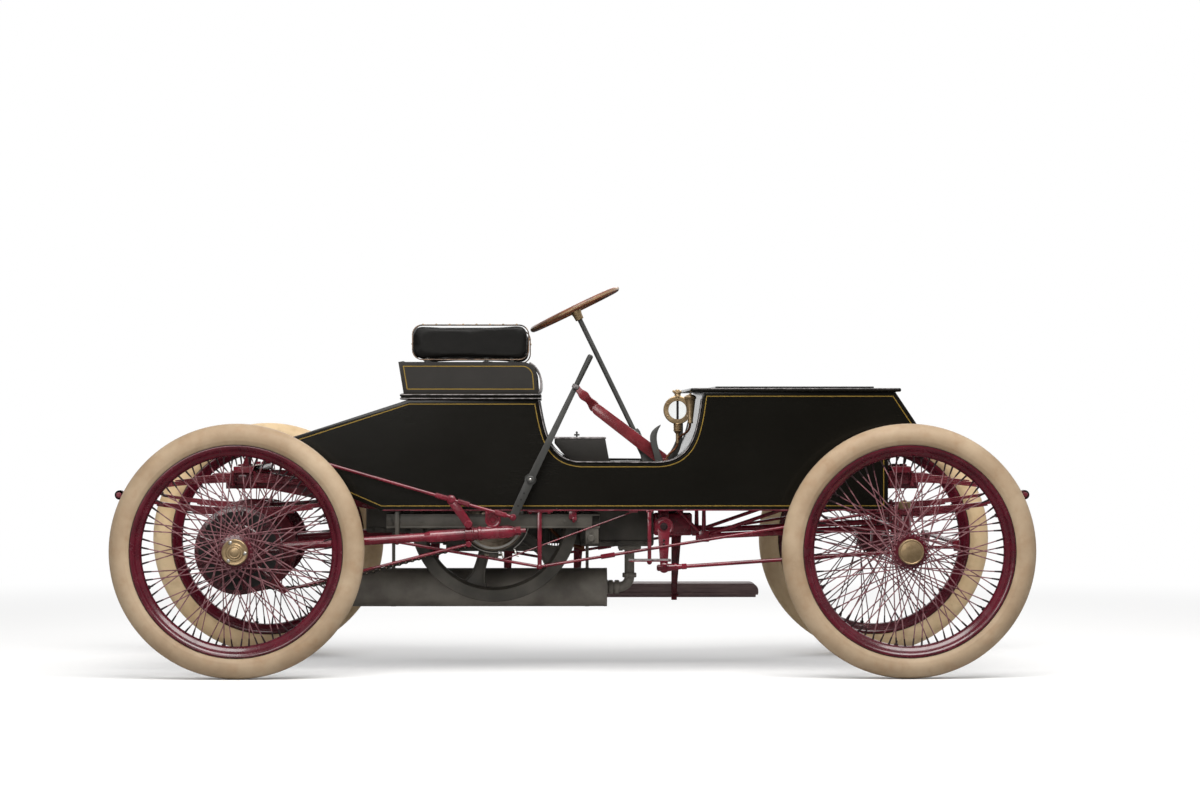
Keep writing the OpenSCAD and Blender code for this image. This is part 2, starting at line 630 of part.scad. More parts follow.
module placed_wheel(x, side)
    translate([x, side * wheel_y, hub_z]) rotate([side > 0 ? -90 : 90, 0, 0]) children();
module wheel_front_right() placed_wheel(axle_x, -1) wheel();
module wheel_front_left() placed_wheel(axle_x, 1) wheel();
module wheel_rear_right() placed_wheel(-axle_x, -1) rear_wheel();
module wheel_rear_left() placed_wheel(-axle_x, 1) rear_wheel();
module tyre() color([0.72, 0.62, 0.5]) rotate_extrude($fn = 96) difference() {
    translate([tyre_r - tyre_section / 2, 0]) circle(r = tyre_section / 2);
    polygon([[rim_out - 30, -60], [rim_out + seat_gap, -60], [rim_out + 7 + seat_gap, -60],
             [rim_out + 7 + seat_gap, -31 + seat_gap], [rim_out + seat_gap, -28 + seat_gap],
             [rim_out + seat_gap, 28 - seat_gap], [rim_out + 7 + seat_gap, 31 - seat_gap],
             [rim_out + 7 + seat_gap, 60], [rim_out - 30, 60]]);
}
module tyre_front_right() placed_wheel(axle_x, -1) tyre();
module tyre_front_left() placed_wheel(axle_x, 1) tyre();
module tyre_rear_right() placed_wheel(-axle_x, -1) tyre();
module tyre_rear_left() placed_wheel(-axle_x, 1) tyre();

// ---- controls and fittings ----
lever_y = -body_y - 55;
lever_pivot = [-157, bottom_z + 114];
lever_eye = [-221, bottom_z - 24];
lever_top = [64, bottom_z + 568];
module flat_bar(p, q, w) {
    n = [-(q - p)[1], (q - p)[0]] / norm(q - p) * w / 2;
    polygon([p + n, q + n, q - n, p - n]);
}
module brake_lever() color([0.2, 0.2, 0.2]) union() {
    slab(lever_y, lever_y + 12) union() {
        flat_bar(lever_eye, lever_pivot, 30);
        translate(lever_eye) circle(r = 15);
        translate(lever_pivot) circle(r = 18);
        flat_bar(lever_pivot, lever_top, 24);
    }
    boss(lever_pivot[0], lever_pivot[1], lever_y - 6, -body_y, 10);
    rod([lever_top[0] - 46, lever_y + 6, lever_top[1] - 90], [lever_top[0], lever_y + 6, lever_top[1]], 13);
}
swing_x = -384;
swing_top = [-448, bottom_z + 41];
rod_anchor = [-1050, bottom_z + 215];
brake_y = lever_y - 12;
module brake_rod() color([0.5, 0.12, 0.2]) union() {
    rod([lever_eye[0], brake_y, lever_eye[1]], [swing_top[0], brake_y, swing_top[1]], 6);
    rod([swing_top[0], brake_y, swing_top[1]], [rod_anchor[0], brake_y, rod_anchor[1]], 6);
    boss(lever_eye[0], lever_eye[1], brake_y - 7, lever_y, 12);
    boss(swing_top[0], swing_top[1], brake_y - 9, brake_y + 9, 17);
    boss(rod_anchor[0], rod_anchor[1], brake_y - 7, -body_y, 12);
    slab(brake_y - 6, brake_y + 6) flat_bar(swing_top, [swing_x, stub_z + 8], 24);
    boss(swing_x, stub_z - 14, -rod_y - 34, -rod_y - 24, 27);
}
post_x = -123;
post_z = bottom_z - 209;
truss_y = body_y - side_t / 2;
truss_front = [axle_x - 79, bottom_z - 6];
truss_rear = [-650, bottom_z - 117];
module truss_rods() color([0.5, 0.12, 0.2]) both() union() {
    rod([post_x, truss_y, post_z], [truss_front[0], truss_y, truss_front[1]], 6);
    rod([post_x, truss_y, post_z], [truss_rear[0], truss_y, truss_rear[1]], 6);
    rod([post_x, truss_y, post_z - 6], [post_x, truss_y, bottom_z], 8);
    block(post_x - 48, post_x + 50, truss_y - 9, truss_y + 9, bottom_z - 8, bottom_z);
    rod([truss_rear[0], truss_y, truss_rear[1] - 6], [truss_rear[0], truss_y, bottom_z], 8);
    block(truss_front[0] - 14, truss_front[0] + 14, truss_y - 9, truss_y + 9, bottom_z - 12, bottom_z);
}
strap_t = 12;               // thickness of the irons that hang the step and the board
step_x = 283;
step_z = bottom_z - 179;
module mounting_step() color([0.42, 0.1, 0.17]) union() {
    block(step_x - 12, step_x + 12, -body_y - strap_t, -body_y, step_z - 6, bottom_z);
    block(step_x - 12, step_x + 12, -body_y - strap_t, -inner_y, bottom_z - 8, bottom_z);
    block(step_x - 78, step_x + 78, -body_y - 92, -body_y, step_z - 14, step_z);
}
board_front = 742;
board_rear = -600;
board_y0 = body_y + strap_t;
board_y1 = body_y + 195;
board_z = hub_z - 172;
board_t = 40;
module running_board() color([0.3, 0.09, 0.1]) union() {
    block(board_rear, board_front, board_y0, board_y1, board_z - board_t, board_z);
    block(board_rear, board_front, board_y1 - 20, board_y1, board_z - board_t - 24, board_z - board_t);
    for (x = [-560, -270, 6, 393]) {
        block(x, x + 30, body_y, body_y + strap_t, board_z - board_t - 10, bottom_z);
        block(x, x + 30, inner_y, body_y + strap_t, bottom_z - 8, bottom_z);
        block(x, x + 30, body_y, board_y1 - 20, board_z - board_t - 10, board_z - board_t);
    }
}
pedal_x = 336;
module foot_pedals() for (y = [-290, -150]) union() {
    block(pedal_x - 20, pedal_x + 4, y - 18, y + 18, floor_z, floor_z + 14);
    rod([pedal_x - 8, y, floor_z + 6], [pedal_x - 42, y, floor_z + 92], 8);
    rod([pedal_x - 42, y, floor_z + 92], [pedal_x - 2, y, floor_z + 152], 9);
}
strap_y = -260;
module speed_lever() union() {
    slab(strap_y - 6, strap_y + 6) union() {
        flat_bar([box_rear_x - 145, floor_z + 22], [94, sill_z + 195], 34);
        flat_bar([94, sill_z + 195], [16, sill_z + 278], 30);
        translate([94, sill_z + 195]) circle(r = 17);
    }
    block(box_rear_x - 171, box_rear_x - 125, strap_y - 10, strap_y + 10, floor_z, floor_z + 26);
}
module floor_levers() color([0.3, 0.06, 0.09]) {
    foot_pedals();
    speed_lever();
}
module tool_box() color([0.05, 0.05, 0.05]) block(8, 140, -330, -110, floor_z, floor_z + 105);

glass_x = 393;
glass_y = -300;
glass_z = sill_z + 194;
module sight_glass_body() difference() {
    union() {
        boss(glass_x, glass_z, glass_y - 14, glass_y + 14, 53);
        rod([glass_x, glass_y, glass_z + 45], [glass_x, glass_y, glass_z + 66], 12);
        rod([glass_x, glass_y, glass_z - 45], [glass_x, glass_y, glass_z - 88], 11);
        rod([glass_x, glass_y, glass_z - 80], [glass_x, glass_y, glass_z - 126], 7);
        rod([glass_x, glass_y, glass_z - 120], [glass_x - 46, glass_y, floor_z], 5);
    }
    boss(glass_x, glass_z, glass_y - 30, glass_y + 30, 34);
}
cup_x = 439;
cup_y = -345;
module oil_cup() union() {
    translate([cup_x, cup_y, glass_z - 50]) cylinder(h = 112, r1 = 9, r2 = 22);
    rod([cup_x, cup_y, glass_z - 46], [glass_x, glass_y, glass_z - 120], 5);
}

module oiler() color([0.7, 0.58, 0.38]) difference() {
    union() {
        sight_glass_body();
        oil_cup();
    }
    translate([0, 0, floor_z - 50]) linear_extrude(50) square(2000, center = true);
}

body_side_right();
body_side_left();
floor_board();
tail_deck();
curved_panels();
nose_panel();
bonnet_lid();
seat_box();
seat_cushion();
seat_rail_pad();
frame_rails();
spring_perches();
subframe();
front_springs();
rear_springs();
engine();
flywheel();
transmission_drum();
drive_chain();
exhaust();
rear_axle();
front_axle();
radius_rods();
truss_rods();
knuckle_right();
knuckle_left();
tie_rod();
drag_link();
drop_arm();
steering_box();
steering_wheel();
wheel_front_right();
wheel_front_left();
wheel_rear_right();
wheel_rear_left();
tyre_front_right();
tyre_front_left();
tyre_rear_right();
tyre_rear_left();
brake_lever();
brake_rod();
mounting_step();
running_board();
floor_levers();
tool_box();
oiler();
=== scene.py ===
"""Early chain-driven racing car: the looks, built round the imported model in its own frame."""

import math

import bmesh
import bpy
from bpy.props import FloatProperty, IntProperty, PointerProperty
from mathutils import Matrix, Vector


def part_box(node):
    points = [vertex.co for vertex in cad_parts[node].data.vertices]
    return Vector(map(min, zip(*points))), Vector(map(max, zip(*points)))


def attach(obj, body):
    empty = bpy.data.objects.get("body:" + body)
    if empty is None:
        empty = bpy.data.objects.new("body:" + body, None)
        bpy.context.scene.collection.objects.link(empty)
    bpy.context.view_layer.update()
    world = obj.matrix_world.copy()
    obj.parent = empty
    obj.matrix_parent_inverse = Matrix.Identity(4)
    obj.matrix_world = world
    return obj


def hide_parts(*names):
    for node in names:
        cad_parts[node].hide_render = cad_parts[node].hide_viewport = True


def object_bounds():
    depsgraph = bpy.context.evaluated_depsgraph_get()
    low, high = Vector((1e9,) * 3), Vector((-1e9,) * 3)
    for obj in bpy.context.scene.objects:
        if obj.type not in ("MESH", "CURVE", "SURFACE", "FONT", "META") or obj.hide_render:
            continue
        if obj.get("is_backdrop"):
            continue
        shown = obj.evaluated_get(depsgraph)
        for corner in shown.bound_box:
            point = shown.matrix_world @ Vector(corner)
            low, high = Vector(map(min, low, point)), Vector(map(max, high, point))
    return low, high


bl_info = {
    "name": "Brass Era Racing Car",
    "version": (1, 0, 0),
    "blender": (4, 5, 0),
    "location": "3D View > Sidebar > Racing Car",
    "description": "Builds the coachwork, wheels, running gear and seat of an early racing car",
    "category": "Add Mesh",
}

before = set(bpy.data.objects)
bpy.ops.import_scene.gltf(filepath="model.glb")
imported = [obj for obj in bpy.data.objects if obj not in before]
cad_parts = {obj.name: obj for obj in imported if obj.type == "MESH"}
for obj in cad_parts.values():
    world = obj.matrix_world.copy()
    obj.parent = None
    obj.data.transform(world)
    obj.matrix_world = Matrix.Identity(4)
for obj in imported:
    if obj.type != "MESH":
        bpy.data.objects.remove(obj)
CAD_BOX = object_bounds()
MM = 0.001                  # the pieces are drawn in millimetres and scaled to metres
TURN = 2 * math.pi
ACROSS = Vector((0, 1, 0))  # across the car, to its left
UP = Vector((0, 0, 1))


def node_box(node):
    """The lowest and highest corners of a node, in millimetres."""
    lo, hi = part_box(node)
    return lo / MM, hi / MM


# ---- stations taken from the frame, in millimetres ----
_lo, _hi = node_box("tyre_rear_right")
TYRE_R = (_hi.z - _lo.z) / 2
SECTION = _hi.y - _lo.y
HUB_Z = (_hi.z + _lo.z) / 2
REAR_X = (_hi.x + _lo.x) / 2
WHEEL_Y = -(_hi.y + _lo.y) / 2
_lo, _hi = node_box("tyre_front_right")
FRONT_X = (_hi.x + _lo.x) / 2
_lo, _hi = node_box("body_side_right")
BODY_Y, INNER_Y = -_lo.y, -_hi.y
BOTTOM_Z, BOX_Z = _lo.z, _hi.z
TAIL_X, NOSE_X = _lo.x, _hi.x
_lo, _hi = node_box("seat_box")
SEAT_REAR, SEAT_FRONT = _lo.x + 16, _hi.x - 4
DECK_Z = _lo.z
_lo, _hi = node_box("floor_board")
FLOOR_REAR, FLOOR_FRONT, FLOOR_Z, FLOOR_LOW = _lo.x, _hi.x, _hi.z, _lo.z
SILL_Z = FLOOR_Z + 12
_lo, _hi = node_box("front_springs")
SPRING_Y, EYE_Z = _hi.y - 22.5, (_hi.z + _lo.z) / 2
SPRING_HALF = (_hi.x - _lo.x) / 2 - 18
SPRING_TOP, SPRING_LOW = _hi.z, _lo.z
_lo, _hi = node_box("flywheel")
CRANK_X, CRANK_Z = (_hi.x + _lo.x) / 2, (_hi.z + _lo.z) / 2
FLYWHEEL_R, FLYWHEEL_Y0, FLYWHEEL_Y1 = (_hi.x - _lo.x) / 2, _lo.y, _hi.y
_lo, _hi = node_box("drive_chain")
CHAIN_Y = (_lo.y + _hi.y) / 2
_lo, _hi = node_box("frame_rails")
RAIL_END = _hi.x


# ---- shader nodes ----
def shade(red, green, blue):
    """A colour given in 0 to 255, as the shader wants it."""
    def one(c):
        c = c / 255
        return c / 12.92 if c <= 0.04045 else ((c + 0.055) / 1.055) ** 2.4
    return (one(red), one(green), one(blue), 1.0)


class Wire:
    """A node's output that can stand in a Python sum."""

    def __init__(self, nodes, socket):
        self.nodes = nodes
        self.socket = socket

    def maths(self, operation, first, second):
        return self.nodes.node("ShaderNodeMath", {"operation": operation}, {0: first, 1: second})

    def __add__(self, other):
        return self.maths("ADD", self, other)

    __radd__ = __add__

    def __mul__(self, other):
        return self.maths("MULTIPLY", self, other)

    __rmul__ = __mul__

    def __sub__(self, other):
        return self.maths("SUBTRACT", self, other)

    def __rsub__(self, other):
        return self.maths("SUBTRACT", other, self)

    def either(self, other):
        """The greater of the two."""
        return self.maths("MAXIMUM", self, other)

    def between(self, low, high, start=0.0, end=1.0):
        """Start below low, end above high and smooth from one to the other."""
        return self.nodes.node(
            "ShaderNodeMapRange", {"interpolation_type": "SMOOTHSTEP"},
            {"Value": self, "From Min": low, "From Max": high, "To Min": start, "To Max": end})


class Nodes:
    """The node tree of a world or a material, under construction."""

    def __init__(self, owner):
        owner.use_nodes = True
        self.tree = owner.node_tree

    def node(self, kind, settings=None, sockets=None, out=0):
        """Adds a node: its settings first, then the values or links of its sockets."""
        made = self.tree.nodes.new(kind)
        for key, value in (settings or {}).items():
            setattr(made, key, value)
        for key, value in (sockets or {}).items():
            if isinstance(value, Wire):
                self.tree.links.new(value.socket, made.inputs[key])
            else:
                made.inputs[key].default_value = value
        return Wire(self, made.outputs[out]) if made.outputs else None

    def ray(self, kind):
        """1 for rays of that kind and 0 for the others."""
        return self.node("ShaderNodeLightPath", out="Is " + kind + " Ray")

    def blend(self, factor, first, second):
        return self.node("ShaderNodeMixShader", {}, {0: factor, 1: first, 2: second})


class Finish(Nodes):
    """A material under construction."""

    def __init__(self, name, **shader):
        self.material = bpy.data.materials.new(name)
        super().__init__(self.material)
        self.shader = self.tree.nodes["Principled BSDF"]
        self.where = None
        for socket, value in shader.items():
            self.shader.inputs[socket.replace("_", " ")].default_value = value

    def place(self, scale=(1, 1, 1), shift=(0, 0, 0)):
        if self.where is None:
            self.where = self.node("ShaderNodeTexCoord", out="Object")
        return self.node("ShaderNodeMapping", {}, {
            "Vector": self.where, "Scale": scale, "Location": shift})

    def noise(self, scale, detail=3, stretch=(1, 1, 1), shift=(0, 0, 0), rough=0.55):
        return self.node("ShaderNodeTexNoise", {}, {
            "Vector": self.place(stretch, shift), "Scale": scale, "Detail": detail,
            "Roughness": rough})

    def cells(self, scale, feature):
        return self.node("ShaderNodeTexVoronoi", {"feature": feature}, {
            "Vector": self.place(), "Scale": scale})

    def mix(self, factor, first, second):
        return self.node("ShaderNodeMix", {"data_type": "RGBA"}, {0: factor, 6: first, 7: second}, 2)

    def bump(self, height, strength, distance):
        self.put("Normal", self.node("ShaderNodeBump", {}, {
            "Height": height, "Strength": strength, "Distance": distance}))

    def put(self, socket, wire):
        self.tree.links.new(wire.socket, self.shader.inputs[socket])


def mottled(name, scale, detail, colours, rough, band=None, relief=None, **shader):
    """A finish of one mottling: two colours, a span of roughness and perhaps a slight relief."""
    f = Finish(name, **shader)
    worn = f.noise(scale, detail)
    deep, light = colours
    f.put("Base Color", f.mix(worn.between(*band) if band else worn, shade(*deep), shade(*light)))
    f.put("Roughness", rough[0] + worn * rough[1])
    if relief:
        f.bump(worn, *relief)
    return f


def coach_black():
    """Deep gloss coach paint, faintly hazed and brushed by old polishing."""
    f = Finish("coach_black", Specular_IOR_Level=0.27, Coat_Roughness=0.06)
    haze = f.noise(2.6, 4)
    grain = f.noise(9, 3, (1, 1, 14))
    specks = f.noise(420, 1).between(0.72, 0.8)
    base = f.mix(haze, shade(9, 8, 5), shade(17, 15, 10))
    f.put("Base Color", f.mix(specks * 0.5, base, shade(52, 49, 43)))
    f.put("Roughness", 0.16 + haze * 0.1 + grain * 0.08)
    f.put("Coat Weight", 0.1 + haze * 0.15)
    f.bump(grain + f.noise(160, 2) * 0.4, 0.06, 0.0006)
    return f


def satin_black():
    """Flatter black of the seat's boards, greyed by wear."""
    f = Finish("satin_black", Specular_IOR_Level=0.3)
    haze = f.noise(7, 4)
    brush = f.noise(30, 4, (1, 6, 12))
    f.put("Base Color", f.mix(haze, shade(28, 26, 24), shade(43, 40, 37)))
    f.put("Roughness", 0.4 + brush * 0.25)
    f.bump(brush, 0.15, 0.0008)
    return f


def pin_gold():
    """Hand-drawn gold line with small breaks in its density."""
    return mottled("pin_gold", 70, 3, ((106, 84, 20), (144, 116, 38)), (0.35, 0.3), None,
                   (0.2, 0.0003), Metallic=0.25)


def maroon_enamel(name="maroon_enamel", deep=(84, 13, 27), light=(116, 26, 42), dust=0.16):
    """Brushed maroon enamel over iron, with dust in it and small chips."""
    f = Finish(name, Specular_IOR_Level=0.55, Coat_Roughness=0.12)
    cloud = f.noise(11, 4)
    brush = f.noise(60, 3, (1, 1, 5))
    chips = f.noise(210, 3, rough=0.7).between(0.69, 0.73)
    dusty = f.noise(23, 5, rough=0.65).between(0.52, 0.75)
    base = f.mix(cloud.between(0.3, 0.7), shade(*deep), shade(*light))
    base = f.mix(dusty * dust, base, shade(128, 92, 92))
    f.put("Base Color", f.mix(chips * 0.8, base, shade(38, 24, 24)))
    f.put("Roughness", 0.2 + dusty * 0.2 + brush * 0.1)
    f.put("Coat Weight", 0.5 - dusty * 0.35)
    f.bump(brush * 0.5 - chips * 0.6 + cloud * 0.3, 0.22, 0.0012)
    return f


def rim_maroon():
    """Glossier maroon of the rims and hubs."""
    return maroon_enamel("rim_maroon", (64, 7, 21), (84, 13, 30), 0.04)


def strap_maroon():
    """Cleaner, warmer maroon of the strap lever."""
    return maroon_enamel("strap_maroon", (92, 24, 30), (120, 40, 46), 0.05)


def spring_maroon():
    """Dustier maroon of the springs and axles."""
    return maroon_enamel("spring_maroon", (80, 20, 31), (114, 42, 52), 0.28)


def drum_maroon():
    """Darker, oily maroon of the brake drums."""
    return maroon_enamel("drum_maroon", (50, 11, 19), (76, 26, 33), 0.2)


def spoke_mauve():
    """Spoke wire whose maroon has worn to a dusty mauve."""
    return mottled("spoke_mauve", 40, 3, ((92, 46, 54), (140, 98, 102)), (0.35, 0.25), (0.3, 0.7),
                   (0.1, 0.0004), Metallic=0.15, Specular_IOR_Level=0.5)


def nipple_dark():
    """Dark painted spoke nipples and rim lugs."""
    return mottled("nipple_dark", 120, 2, ((26, 8, 12), (48, 20, 26)), (0.35, 0.3), Metallic=0.2)


def cream_rubber(name="cream_rubber", deep=(141, 119, 94), light=(169, 149, 124)):
    """Natural rubber, mottled tan and stained, with a fine skin."""
    f = Finish(name, Specular_IOR_Level=0.3)
    cloud = f.noise(4.5, 5, rough=0.6)
    streak = f.noise(22, 4, shift=(3, 1, 2))
    spots = f.noise(95, 3, rough=0.7).between(0.7, 0.78)
    grime = f.noise(8, 6, shift=(9, 4, 7), rough=0.7).between(0.55, 0.8)
    base = f.mix(cloud.between(0.25, 0.75), shade(*deep), shade(*light))
    base = f.mix(streak.between(0.45, 0.8) * 0.35, base, shade(136, 102, 70))
    base = f.mix(grime * 0.35, base, shade(118, 90, 62))
    f.put("Base Color", f.mix(spots * 0.55, base, shade(92, 66, 44)))
    f.put("Roughness", 0.5 + cloud * 0.16)
    f.bump(streak * 0.5 + f.noise(300, 2) * 0.25 - spots * 0.4, 0.16, 0.0015)
    return f


def painted_lit_rubber():
    """The far side's tyres: the same rubber painted paler, a painted highlight that stands in for the
    light falling on them.
    """
    return cream_rubber("painted_lit_rubber", (194, 166, 126), (214, 190, 154))


def rim_crevice_shade():
    """Dark line of painted shade in the crevice where a tyre meets its rim."""
    return mottled("rim_crevice_shade", 60, 2, ((18, 14, 12), (46, 34, 28)), (0.5, 0.3))


def cast_iron(name="cast_iron", deep=(54, 51, 45), light=(78, 74, 67), grit=90, skin=0.12):
    """Painted cast iron: a dull dark grey over a fine sandy skin."""
    f = Finish(name, Specular_IOR_Level=0.45)
    cloud = f.noise(9, 4)
    sand = f.noise(grit * 4, 2)
    rust = f.noise(26, 5, rough=0.7).between(0.62, 0.8)
    base = f.mix(cloud.between(0.3, 0.7), shade(*deep), shade(*light))
    f.put("Base Color", f.mix(rust * 0.35, base, shade(74, 52, 36)))
    f.put("Roughness", 0.42 + cloud * 0.2)
    f.bump(sand * 0.4 + f.noise(grit, 3), skin, 0.0007)
    return f


def sheet_iron():
    """Smooth grey sheet of the muffler."""
    return cast_iron("sheet_iron", (92, 87, 80), (118, 113, 105), 30, 0.08)


def edge_wear_and_highlight():
    """Pale grey along an edge: paint rubbed thin where it is worn, and a painted highlight where a bead
    catches the light from above.
    """
    return mottled("edge_wear_and_highlight", 50, 3, ((74, 70, 70), (136, 130, 130)), (0.3, 0.25), (0.35, 0.65),
                   (0.1, 0.0004), Specular_IOR_Level=0.5)


def tan_welt():
    """Brown leather welt, rubbed pale in places."""
    return mottled("tan_welt", 45, 4, ((38, 29, 23), (112, 90, 72)), (0.5, 0.2), (0.35, 0.65),
                   (0.2, 0.0006))


def lever_grey():
    """Dark painted iron of the levers."""
    return cast_iron("lever_grey", (46, 46, 44), (62, 62, 60), 160, 0.03)


def worn_steel():
    """Bare steel, turned and dulled with oil."""
    f = Finish("worn_steel", Metallic=0.75)
    turned = f.noise(160, 3, (1, 0.05, 1))
    oil = f.noise(14, 4).between(0.4, 0.7)
    f.put("Base Color", f.mix(oil, shade(156, 144, 128), shade(104, 92, 78)))
    f.put("Roughness", 0.34 + oil * 0.2 + turned * 0.12)
    f.bump(turned, 0.12, 0.0004)
    return f


def bright_steel():
    """Screw heads and nuts left bright."""
    return mottled("bright_steel", 180, 2, ((205, 203, 198), (160, 156, 150)), (0.25, 0.2), Metallic=0.85)


def chain_steel():
    """Oiled chain plates, nearly black."""
    return mottled("chain_steel", 90, 3, ((28, 25, 22), (64, 57, 50)), (0.35, 0.25), Metallic=0.55)


def brass(name="old_brass", dull=(136, 114, 84), clean=(172, 148, 114)):
    """Brass polished long ago, with a soft tarnish."""
    f = Finish(name, Metallic=0.72)
    cloud = f.noise(24, 5, rough=0.65)
    rub = f.noise(120, 3, (1, 1, 8))
    spots = f.noise(170, 3).between(0.68, 0.75)
    base = f.mix(cloud.between(0.3, 0.7), shade(*dull), shade(*clean))
    f.put("Base Color", f.mix(spots * 0.5, base, shade(104, 78, 44)))
    f.put("Roughness", 0.3 + cloud * 0.14 + rub * 0.08)
    f.bump(rub, 0.08, 0.0004)
    return f


def copper():
    """Old copper of the oil and cooling pipes."""
    return brass("old_copper", (92, 56, 36), (128, 82, 56))


def leather():
    """Black hide: a fine pebbled grain, dulled where it is sat on."""
    f = Finish("black_leather", Specular_IOR_Level=0.2)
    pebble = f.cells(330, "DISTANCE_TO_EDGE").between(0.0, 0.35)
    fold = f.noise(34, 5, rough=0.6)
    rub = f.noise(9, 4).between(0.45, 0.75)
    base = f.mix(fold, shade(8, 7, 6), shade(16, 15, 13))
    f.put("Base Color", f.mix(rub * 0.3, base, shade(26, 24, 22)))
    f.put("Roughness", 0.46 + rub * 0.16 - pebble * 0.06)
    f.bump(pebble * 0.4 + fold * 0.9, 0.3, 0.0016)
    return f


def piping():
    """Leather welt round the seat's edges."""
    return mottled("leather_welt", 120, 3, ((20, 18, 17), (36, 33, 30)), (0.42, 0.15), None,
                   (0.25, 0.001), Specular_IOR_Level=0.45)


def bent_wood():
    """Varnished steering wheel rim, its grain running round."""
    f = Finish("bent_wood", Coat_Roughness=0.1)
    grain = f.noise(22, 5, (1, 1, 3), rough=0.6)
    line = f.noise(60, 3, (1, 1, 9))
    base = f.mix(grain.between(0.3, 0.7), shade(82, 42, 22), shade(118, 66, 38))
    f.put("Base Color", f.mix(line.between(0.5, 0.75) * 0.5, base, shade(66, 34, 20)))
    f.put("Roughness", 0.3 + grain * 0.15)
    f.put("Coat Weight", 0.4 + grain * 0.2)
    f.bump(line, 0.03, 0.0001)
    return f


def plank_paint():
    """Maroon-brown paint on a plank, with the grain showing and scuffs through it."""
    f = Finish("plank_paint", Specular_IOR_Level=0.4)
    grain = f.noise(16, 6, (0.4, 6, 6), rough=0.65)
    scuff = f.noise(20, 5, (1, 3, 3), rough=0.7).between(0.6, 0.78)
    base = f.mix(grain.between(0.3, 0.7), shade(108, 86, 88), shade(138, 116, 114))
    f.put("Base Color", f.mix(scuff * 0.5, base, shade(154, 132, 124)))
    f.put("Roughness", 0.42 + grain * 0.2)
    f.bump(grain, 0.35, 0.0012)
    return f


def floor_boards():
    """Dark worn floor boards."""
    f = Finish("floor_boards", Specular_IOR_Level=0.35)
    grain = f.noise(14, 6, (0.5, 7, 7), rough=0.65)
    wear = f.noise(5, 4).between(0.45, 0.75)
    base = f.mix(grain.between(0.3, 0.7), shade(44, 34, 26), shade(82, 66, 50))
    f.put("Base Color", f.mix(wear * 0.4, base, shade(104, 88, 68)))
    f.put("Roughness", 0.5 + grain * 0.25)
    f.bump(grain, 0.4, 0.0014)
    return f


def sight_glass():
    """Clear glass of the oil sight."""
    return mottled("sight_glass", 40, 3, ((244, 246, 244), (228, 232, 226)), (0.02, 0.05),
                   Transmission_Weight=0.95, IOR=1.45)


def dark_inside():
    """The unlit inside of bores and cases."""
    return mottled("dark_inside", 50, 3, ((10, 9, 8), (24, 21, 18)), (0.7, 0.2))


MAKERS = {m.__name__: m for m in (
    coach_black, satin_black, pin_gold, maroon_enamel, rim_maroon, strap_maroon, spring_maroon,
    drum_maroon, spoke_mauve, nipple_dark, cream_rubber, painted_lit_rubber, rim_crevice_shade, cast_iron,
    sheet_iron, lever_grey, worn_steel, bright_steel, chain_steel, brass, copper, leather, edge_wear_and_highlight,
    tan_welt, piping, bent_wood, plank_paint, floor_boards, sight_glass, dark_inside)}
made_finishes = {}


def finish(name):
    """The material of that name, made the first time it is asked for."""
    if name not in made_finishes:
        made_finishes[name] = MAKERS[name]().material
    return made_finishes[name]


# ---- mesh tools, all in millimetres ----
def vec(x, y, z):
    return Vector((x, y, z))


def polar(turn, reach, y=0.0):
    """A step of that reach, turned in the side view."""
    return vec(reach * math.cos(turn), y, reach * math.sin(turn))


def between(p, q):
    """The placing whose Z runs from p to q, centred halfway."""
    return Matrix.Translation((p + q) / 2) @ (q - p).to_track_quat("Z", "Y").to_matrix().to_4x4()


def verts_of(geometry):
    return [g for g in geometry if isinstance(g, bmesh.types.BMVert)]


def faces_of(geometry):
    return [g for g in geometry if isinstance(g, bmesh.types.BMFace)]


def paint(faces, index):
    for face in faces:
        face.material_index = index


def paint_around(verts, index):
    for vert in verts:
        paint(vert.link_faces, index)


def soften(bm, edges, width, segments=2):
    """Rounds edges over."""
    return bmesh.ops.bevel(
        bm, geom=edges, offset=width, offset_type="OFFSET", segments=segments, profile=0.5,
        affect="EDGES", material=-1, clamp_overlap=True)["faces"]


def bar(bm, p, q, r, r_end=None, sides=14, index=0):
    """A round bar from p to q, tapered where r_end is given."""
    made = bmesh.ops.create_cone(
        bm, cap_ends=True, segments=sides, radius1=r, radius2=r if r_end is None else r_end,
        depth=(q - p).length, matrix=between(p, q))
    paint_around(made["verts"], index)
    return made["verts"]


def ball(bm, at, r, index=0, squash=(1, 1, 1)):
    """A ball, or a flattened one."""
    made = bmesh.ops.create_uvsphere(
        bm, u_segments=14, v_segments=8, radius=r,
        matrix=Matrix.Translation(at) @ Matrix.Diagonal((*squash, 1)))
    paint_around(made["verts"], index)
    return made["verts"]


def block(bm, lo, hi, soft=2.0, index=0, segments=2):
    """A box between two corners, its edges rounded over."""
    lo, hi = Vector(lo), Vector(hi)
    size = hi - lo
    made = bmesh.ops.create_cube(bm, size=1, matrix=Matrix.LocRotScale((lo + hi) / 2, None, size))
    verts = made["verts"]
    if soft:
        edges = list({e for v in verts for e in v.link_edges})
        faces = soften(bm, edges, min(soft, min(size) * 0.45), segments)
        verts = list({v for f in faces for v in f.verts})
    paint_around(verts, index)
    return verts


